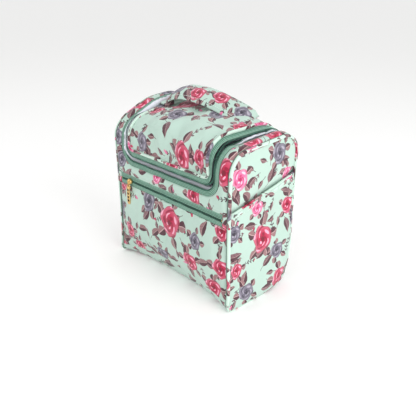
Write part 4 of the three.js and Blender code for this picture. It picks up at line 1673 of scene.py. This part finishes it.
@dataclass
class Handle:
    """The padded carrying strap that arches over the lid."""

    trade: Trade
    lid_turn: Matrix
    half_span: float = 0.0725
    rise: float = 0.0165
    lift: float = 0.0090
    width: float = 0.041
    end_width: float = 0.036
    padding: float = 0.0034
    crown: float = 0.0035
    seam_inset: float = 0.0042
    shift: float = -0.0105
    yaw: float = 7.0
    tilt: float = 15.0

    def middle_line(self, t: float) -> Vector:
        """A place on the strap's middle line, for t from -1 to 1, as (across, outwards)."""
        lead = t + 0.26 * (1 - t * t)
        arch = (1 - abs(lead) ** 2.4) * (1 - 0.1 * t)
        return Vector((t * self.half_span,
                       self.lift + self.rise * arch - 0.004 * ease(abs(t), 0.9, 1.0)))

    def build(self) -> None:
        """Make and dress the strap and its stitches."""
        trade = self.trade
        low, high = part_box("handle_strap")
        s = trade.outline.top_at((low.y + high.y) / 2)
        base, sideways, out = trade.outline.frame_at(self.shift, s, 0.0, (0.0, 1.0))
        lean = Matrix.Rotation(math.radians(self.tilt), 3, "X")
        sideways, lifted = lean @ sideways, lean @ out
        twist = (Matrix.Translation(base) @ Matrix.Rotation(math.radians(self.yaw), 4, "Z")
                 @ Matrix.Translation(-base))
        rows, flat, seams = [], [], ([], [])
        steps, sides = 72, 28
        run = 0.0
        for i in range(steps + 1):
            t = 2 * i / steps - 1
            here, near = self.middle_line(t), self.middle_line(min(1.0, t + 0.01))
            way = (near - here) if t < 1 else (here - self.middle_line(0.99))
            way = way.normalized()
            up = Vector((-way.y, way.x))
            half = (self.end_width + (self.width - self.end_width) * ease(1 - abs(t), 0.0, 0.3)) / 2
            thick = self.padding * (0.55 + 0.45 * ease(1 - abs(t), 0.0, 0.22))
            row, lay = [], []
            for k in range(sides):
                a = 2 * math.pi * k / sides
                c, d = math.cos(a), math.sin(a)
                wide = math.copysign(abs(c) ** 0.55, c) * half
                tall = (math.copysign(abs(d) ** 0.8, d) * thick
                        * (0.55 + 0.45 * (1 - (wide / half) ** 2)))
                tall += 0.0008 * ripple(t * 9, wide * 90, 1.0) * (1 if d > 0 else 0.4)
                tall += self.crown * (1 - (wide / half) ** 2) - 0.002
                place = Vector((here.x + up.x * tall, 0.0, 0.0))
                row.append(base + place + out * here.y + lifted * up.y * tall + sideways * wide)
                lay.append((run, wide + (0.0 if d > 0 else 0.09)))
            run += (near - here).length * (2 / steps) / 0.01 if t < 1 else 0.0
            rows.append(row)
            flat.append(lay)
            for m, sign in enumerate((-1, 1)):
                wide = sign * (half - self.seam_inset)
                tall = (thick * (0.55 + 0.45 * (1 - (wide / half) ** 2))
                        + self.crown * (1 - (wide / half) ** 2) - 0.0016)
                seams[m].append(base + Vector((here.x + up.x * tall, 0, 0)) + out * here.y
                                + lifted * up.y * tall + sideways * wide)
        strap = trade.maker.grid("handle_cloth", rows, flat, loop_columns=True)
        trade.maker.cap(strap)
        self.settle_on_lid(strap, twist)
        trade.maker.dress(strap, "handle", "print_fabric", trade.finish["handle"], ["handle_strap"])
        for m, path in enumerate(seams):
            row = trade.maker.stitches(f"handle_stitches_{m + 1}", path, [out] * len(path))
            self.settle_on_lid(row, twist)
            trade.maker.dress(row, "handle", "print_fabric", trade.finish["thread"])

    def settle_on_lid(self, obj: bpy.types.Object, twist: Matrix) -> None:
        """Turn a piece in plan, raise it with the lid and open it with the lid.

        Args:
            obj: The piece.
            twist: The turn in plan.
        """
        obj.data.transform(twist)
        for vertex in obj.data.vertices:
            vertex.co = self.trade.lid_place(vertex.co)
        obj.data.transform(self.lid_turn)


@dataclass
class PocketPull:
    """The gold slider, loop and leaf of the pocket zip."""

    trade: Trade
    ball: float = 0.0042
    wire: float = 0.00085
    leaf_width: float = 0.0068
    leaf_length: float = 0.0285

    def build(self) -> None:
        """Make and dress the three parts."""
        self.slider()
        self.loop()
        self.leaf()

    def slider(self) -> None:
        """A round-nosed slider with a collar where the loop hangs."""
        t = self.trade
        low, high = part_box("pocket_slider")
        middle = (low + high) / 2
        front = low.y + 0.0036
        rows = []
        for i in range(25):
            a = math.pi * i / 24
            reach, size = -math.cos(a) * self.ball * 1.12, math.sin(a) * self.ball
            collar = 1 + 0.10 * math.exp(-(math.cos(a) / 0.12) ** 2)
            rows.append([Vector((middle.x + reach, front + math.cos(b) * size * collar * 0.92,
                                 middle.z + math.sin(b) * size * collar))
                         for b in [2 * math.pi * k / 28 for k in range(28)]])
        body = t.maker.grid("pocket_slider_ball", rows, loop_columns=True)
        t.maker.dress(body, "pocket_slider", "gold_metal", t.finish["gold"], ["pocket_slider"])

    def loop(self) -> None:
        """The three-cornered wire loop."""
        t = self.trade
        low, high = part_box("pocket_pull_link")
        x, y, top = (low.x + high.x) / 2, (low.y + high.y) / 2, high.z
        corners = [Vector((x, y, top - 0.0006)), Vector((x + 0.0036, y, top - 0.0100)),
                   Vector((x - 0.0036, y, top - 0.0100))]
        path = []
        for i in range(3):
            a, b, c = corners[i - 1], corners[i], corners[(i + 1) % 3]
            enter, leave = b + (a - b).normalized() * 0.0016, b + (c - b).normalized() * 0.0016
            for k in range(7):
                w = k / 6
                path.append(enter * (1 - w) ** 2 + b * 2 * w * (1 - w) + leave * w ** 2)
        ring = t.maker.tube("pocket_pull_loop", path, self.wire, 10, closed=True)
        t.maker.dress(ring, "pocket_link", "gold_metal", t.finish["gold"], ["pocket_pull_link"])

    def leaf(self) -> None:
        """The long flat leaf with four sunk slots, each covered by a thin dark plate of painted
        shadow.
        """
        t = self.trade
        low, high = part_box("pocket_pull_leaf")
        x, y, top = (low.x + high.x) / 2, low.y, high.z + 0.0022
        half, length = self.leaf_width / 2, self.leaf_length
        rows = []
        for i in range(49):
            v = i / 48
            z = top - length * v
            ends = min(1.0, math.sqrt(max(0.0, 1 - (1 - min(1, v / 0.10)) ** 2)))
            ends *= min(1.0, math.sqrt(max(0.0, 1 - (1 - min(1, (1 - v) / 0.10)) ** 2)))
            wide = half * max(0.02, ends) * (0.86 + 0.14 * ease(v, 0.0, 0.5))
            slot = max(0.0, min(1.0, 9 * (0.5 - abs(((v - 0.13) / 0.19) % 1 - 0.5)) - 1.6))
            slot = slot if 0.13 < v < 0.89 else 0.0
            row = []
            for k in range(24):
                a = 2 * math.pi * k / 24
                c, d = math.cos(a), math.sin(a)
                across = math.copysign(abs(c) ** 0.6, c) * wide
                deep = math.copysign(abs(d) ** 0.5, d) * 0.0009
                if abs(across) < half * 0.52 and d < 0:
                    deep += 0.0007 * slot
                row.append(Vector((x + across, y - 0.0002 + deep, z)))
            rows.append(row)
        plate = t.maker.grid("pocket_pull_plate", rows, loop_columns=True)
        t.maker.cap(plate)
        t.maker.dress(plate, "pocket_leaf", "gold_metal", t.finish["gold"], ["pocket_pull_leaf"])
        # Thin dark plates over the sunk slots: painted shadow in the slots.
        for i in range(4):
            z = top - length * (0.225 + 0.19 * i)
            mark = []
            for j in range(9):
                b = j / 8
                row = []
                for k in range(9):
                    w = k / 8
                    row.append(Vector((x + (w - 0.5) * half * 0.95,
                                       y - 0.00115 - 0.0001 * hump(w) * hump(b),
                                       z + (b - 0.5) * 0.0030)))
                mark.append(row)
            inlay = t.maker.grid(f"pocket_pull_slot_{i + 1}", mark)
            t.maker.thicken(inlay, 0.0003)
            t.maker.dress(inlay, "pocket_leaf", "gold_metal", t.finish["slot_shadow"])


@dataclass
class Inside:
    """Linings, net and board inside the bag, and the fold-out hook behind them."""

    trade: Trade

    def soft(self, node: str, finish: str, slot: str, body: str, amount: float = 0.0012,
             trim: float = 0.0, foot: float = 0.0) -> None:
        """Stand a creased sheet in the place of a flat cloth node.

        Args:
            node: The frame's node.
            finish: The finish's name.
            slot: The material slot.
            body: The body it rides on.
            amount: How deep its creases are.
            trim: How much shorter it is at each edge.
            foot: The least height of its lower edge.
        """
        t = self.trade
        low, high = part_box(node)
        low.z = max(low.z, foot)
        size = high - low
        thin = min(range(3), key=lambda i: size[i])
        a, b = [i for i in range(3) if i != thin]
        for axis in (a, b):
            low[axis] += trim
            high[axis] -= trim
        size = high - low
        count_a, count_b = 36, 24
        rows = []
        for j in range(count_b + 1):
            row = []
            for i in range(count_a + 1):
                p = Vector((0.0, 0.0, 0.0))
                u, v = i / count_a, j / count_b
                p[a], p[b] = low[a] + size[a] * u, low[b] + size[b] * v
                edge = ease(min(u, 1 - u), 0, 0.1) * ease(min(v, 1 - v), 0, 0.1)
                crease = amount * ripple(u * 7, v * 5, len(node)) * edge
                p[thin] = (low[thin] + high[thin]) / 2 + crease
                row.append(p)
            rows.append(row)
        sheet = t.maker.grid(f"{node}_cloth", rows)
        t.maker.thicken(sheet, 0.0009)
        t.maker.dress(sheet, body, slot, t.finish[finish], [node])

    def build(self) -> None:
        """Dress every piece inside the bag."""
        for node in ("lining_front", "lining_back", "pocket_back_wall"):
            self.soft(node, "lining", "lining_fabric", "body", foot=0.040)
        self.soft("lining_floor", "lining", "lining_fabric", "body", 0.0004,
                  trim=0.012, foot=0.0080)
        self.soft("base_board", "board", "board", "body", 0.0001, trim=0.014, foot=0.0062)
        self.soft("bottle_elastic", "elastic", "mesh_fabric", "body", 0.0006)
        self.soft("hook_strap", "strap", "zip_tape", "hook_strap", 0.0002)
        for name, sign in (("left", -1), ("right", 1)):
            self.side_lining(name, sign)

    def side_lining(self, name: str, sign: int) -> None:
        """The white lining on one side."""
        t = self.trade
        low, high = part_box(f"lining_{name}")
        x = (low.x + high.x) / 2
        rows = []
        for i in range(31):
            y = (t.sizes.depth / 2 - 0.0075) * (i / 15 - 1)
            bottom, top = t.outline.rise(y, 0.006)
            rows.append([Vector((x + 0.0004 * ripple(y * 60, k * 0.2, 2.0), y,
                                 bottom + (top - bottom) * k / 30))
                         for k in range(31)])
        sheet = t.maker.grid(f"lining_{name}_cloth", rows if sign > 0 else rows[::-1])
        t.maker.thicken(sheet, 0.0008)
        t.maker.dress(sheet, "body", "lining_fabric", t.finish["lining"], [f"lining_{name}"])


@dataclass
class Studio:
    """Pale floor, soft lights and the camera."""

    azimuth: float = 47.3
    elevation: float = 23.4
    distance: float = 0.736
    lens: float = 45.07
    target: tuple[float, float, float] = (0.0145, 0.0, 0.0962)

    def build(self, finish: bpy.types.Material) -> None:
        """Make the studio.

        Args:
            finish: The floor's finish.
        """
        rows = []
        for j in range(9):
            rows.append([Vector((-40 + 10.0 * i, -40 + 10.0 * j, -0.0004)) for i in range(9)])
        floor = Maker().grid("studio_floor", rows)
        floor.data.materials.append(finish)
        self.lamp("key", (-0.65, -1.15, 1.35), 4.5, 0.9)
        self.lamp("fill", (1.5, -0.1, 0.75), 13.5, 1.0)
        self.lamp("overhead", (0.1, 0.3, 1.7), 1.5, 1.3)
        world = bpy.data.worlds.new("studio_air")
        world.use_nodes = True
        world.node_tree.nodes["Background"].inputs[0].default_value = (1.0, 1.0, 1.0, 1.0)
        world.node_tree.nodes["Background"].inputs[1].default_value = 0.8
        bpy.context.scene.world = world
        bpy.context.scene.view_settings.view_transform = "Standard"
        self.camera()

    def lamp(self, name: str, place: tuple[float, float, float], power: float, size: float) -> None:
        """Hang one soft lamp that faces the bag."""
        light = bpy.data.lights.new(name, "AREA")
        light.energy, light.size = power, size
        obj = bpy.data.objects.new(name, light)
        obj.location = place
        aim = Vector((0, 0, 0.1)) - Vector(place)
        obj.rotation_euler = aim.to_track_quat("-Z", "Y").to_euler()
        bpy.context.scene.collection.objects.link(obj)

    def camera(self) -> None:
        """Set up the camera."""
        a, e = math.radians(self.azimuth), math.radians(self.elevation)
        back = Vector((math.sin(a) * math.cos(e), -math.cos(a) * math.cos(e), math.sin(e)))
        data = bpy.data.cameras.new("camera")
        data.lens, data.sensor_width = self.lens, 36.0
        obj = bpy.data.objects.new("camera", data)
        obj.location = Vector(self.target) + back * self.distance
        obj.rotation_euler = (-back).to_track_quat("-Z", "Y").to_euler()
        bpy.context.scene.collection.objects.link(obj)
        bpy.context.scene.camera = obj


def finishes(outline: Outline) -> dict[str, bpy.types.Material]:
    """Make every finish of the bag.

    Args:
        outline: The bag's outline, for placing roses on each panel.

    Returns:
        The finishes by name.
    """
    c, g, p = Bloom.CRIMSON, Bloom.GREY, Bloom.PINK

    def on_front(*spots: tuple) -> tuple[Rose, ...]:
        """Roses given by height on the front."""
        return tuple(Rose(x, outline.front_at(z / 1000) * 1000, w, a, k) for x, z, w, a, k in spots)

    front = on_front((11, 93, 40, 0.3, c), (-86, 48, 24, 1.0, c), (51, 49, 27, 2.0, c),
                     (91, 25, 27, 0.6, c),
                     (106, 60, 26, 1.7, c), (-67, 21, 24, 2.6, c), (-102, 118, 22, 0.2, c),
                     (-38, 109, 28, 0.9, g), (-113, 76, 26, 2.2, g), (106, 112, 26, 1.2, c),
                     (56, 144, 24, 2.8, c), (-101, 155, 22, 0.0, g), (-14, 30, 25, 1.4, g),
                     (-20, 149, 18, 1.1, p), (-116, 8, 26, 0.8, c), (62, 84, 22, 0.4, g))
    s = outline.start_of

    def arc(z: float) -> float:
        """The distance in mm at which the front or its upper curve is at height z."""
        low, high = 0.0, s(2)
        for _ in range(30):
            mid = (low + high) / 2
            low, high = (mid, high) if outline.at(mid)[0].y < z / 1000 else (low, mid)
        return low * 1000

    def top(y: float) -> float:
        """The distance in mm at which the top is at depth y."""
        return outline.top_at(y / 1000) * 1000

    front += (Rose(110, arc(188), 30, 0.7, c), Rose(107, top(-14), 25, 2.0, c),
              Rose(109, top(22), 24, 1.1, c), Rose(-109, top(-16), 25, 1.5, c),
              Rose(-107, top(30), 22, 0.4, g), Rose(-108, arc(187), 22, 0.4, g))
    lid = (Rose(35, arc(184), 31, 0.5, c), Rose(66, arc(188), 20, 1.9, c),
           Rose(-51, arc(185), 24, 0.8, g), Rose(-26, top(-22), 27, 2.1, g),
           Rose(-48, top(16), 40, 0.2, c), Rose(-72, top(-20), 22, 1.3, c),
           Rose(78, top(-4), 26, 2.4, c), Rose(24, top(4), 24, 1.0, g),
           Rose(10, top(44), 30, 0.1, c), Rose(-60, top(60), 26, 1.1, g),
           Rose(60, top(52), 24, 2.2, p))
    side = (Rose(-2, 87, 35, 0.7, c), Rose(37, 14, 32, 1.8, c), Rose(-46, 56, 21, 0.3, c),
            Rose(29, 60, 24, 2.5, g), Rose(24, 196, 26, 1.2, g), Rose(-44, 178, 26, 2.0, p),
            Rose(-13, 133, 20, 0.6, p), Rose(43, 165, 18, 1.5, p), Rose(-30, 20, 24, 2.9, g),
            Rose(48, 120, 22, 0.9, c), Rose(-52, 110, 22, 1.9, g))
    back = tuple(Rose(-95 + 47 * i + (24 if j % 2 else 0), s(4) * 1000 + 30 + 52 * j,
                      28 + 8 * ((i + j) % 2), i * 1.3 + j, (c, g, c, p)[(i * 3 + j) % 4])
                 for j in range(5) for i in range(4))
    strap = (Rose(28, 2, 26, 0.4, g), Rose(66, -6, 24, 1.6, c), Rose(100, 4, 26, 2.4, c),
             Rose(140, -4, 24, 0.9, g), Rose(4, -6, 22, 1.0, c))
    trim = tuple(Rose(30 + 95 * i, 0, 24, i * 1.1, (c, g, p)[i % 3]) for i in range(6))
    return {
        "front": PrintedCloth("print_front", front, 0.2).material(),
        "lid": PrintedCloth("print_lid", lid, 1.3).material(),
        "side": PrintedCloth("print_side", side, 2.6).material(),
        "back": PrintedCloth("print_back", back, 3.4).material(),
        "handle": PrintedCloth("print_handle", strap, 4.1).material(),
        # The trim's ground is lighter than the panels': a painted highlight on the raised piping, hems
        # and lid cord.
        "trim": PrintedCloth("print_trim_painted_light", trim, 5.2, "D6EDE0", "C6E2D3").material(),
        "tape": RibbedTape().material(),
        "teeth": Moulded("zip_teeth_green", "3E7462", "2C5546", roughness=0.4).material(),
        "thread": PlainCloth("thread_mint", "EAF7F0", "CFE6DA", 0.0002).material(),
        "seam": PlainCloth("seam_shadow_green", "5E8272", "47685A", 0.0004).material(),
        "lining": PlainCloth("lining_white", "EEF1F8", "D5DAE6", 0.0026).material(),
        "elastic": PlainCloth("elastic_grey", "C6CBD2", "A4AAB4", 0.0012).material(),
        "strap": PlainCloth("webbing_green", "7DB09C", "5C8F7B", 0.0012).material(),
        "net": NetCloth().material(),
        "gold": Moulded("gold_plate", "E9C88A", "CDA261", metallic=1.0, roughness=0.26).material(),
        "slot_shadow": Moulded("slot_painted_shadow", "4A3418", "2E200E", metallic=0.6,
                               roughness=0.6).material(),
        "hook": Moulded("hook_white_plastic", "F2F2EE", "E2E3DE", roughness=0.3,
                        coat=0.3).material(),
        "board": Moulded("board_white", "E6E6E2", "D2D3CF", roughness=0.55).material(),
        "floor": Moulded("studio_floor_pale", "FAFAF9", "F7F7F6", roughness=0.6, grain=40.0,
                         glow=0.09).material(),
    }


def dress_nodes(finish: dict[str, bpy.types.Material]) -> None:
    """Give every frame node that stays its own finish.

    Args:
        finish: The finishes by name.
    """
    wanted = {"lid_mesh_pocket": "net", "lid_mesh_binding": "strap",
              "hook_collar": "hook", "hook": "hook", "pocket_zip_stop_left": "gold",
              "pocket_zip_stop_right": "gold"}
    for side in ("left", "right"):
        for part in ("lid_slider", "lid_pull_link", "lid_pull_leaf"):
            wanted[f"{part}_{side}"] = "gold"
    for name, kind in wanted.items():
        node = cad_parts[name]
        node.data.materials.clear()
        node.data.materials.append(finish[kind])
        log.info("%s keeps its shape, in %s", name, kind)


def main() -> None:
    """Build the whole bag in order."""
    logging.basicConfig(level=logging.INFO, format="%(message)s")
    sizes = Sizes()
    outline = Outline(sizes.depth, sizes.front, sizes.rear)
    finish = finishes(outline)
    trade = Trade(sizes, outline, OpeningTrack(sizes, outline), Maker(), finish)
    hinge = Vector((0.0, sizes.depth / 2 + 0.0006, sizes.hinge_z))
    turn = (Matrix.Translation(hinge) @ Matrix.Rotation(-math.radians(sizes.ajar), 4, "X")
            @ Matrix.Translation(-hinge))
    Studio().build(finish["floor"])
    Shell(trade).build()
    Sides(trade).build()
    Zips(trade, turn).build()
    Lid(trade, turn).build()
    Handle(trade, turn).build()
    PocketPull(trade).build()
    Inside(trade).build()
    dress_nodes(finish)


if __name__ == "__main__":
    main()
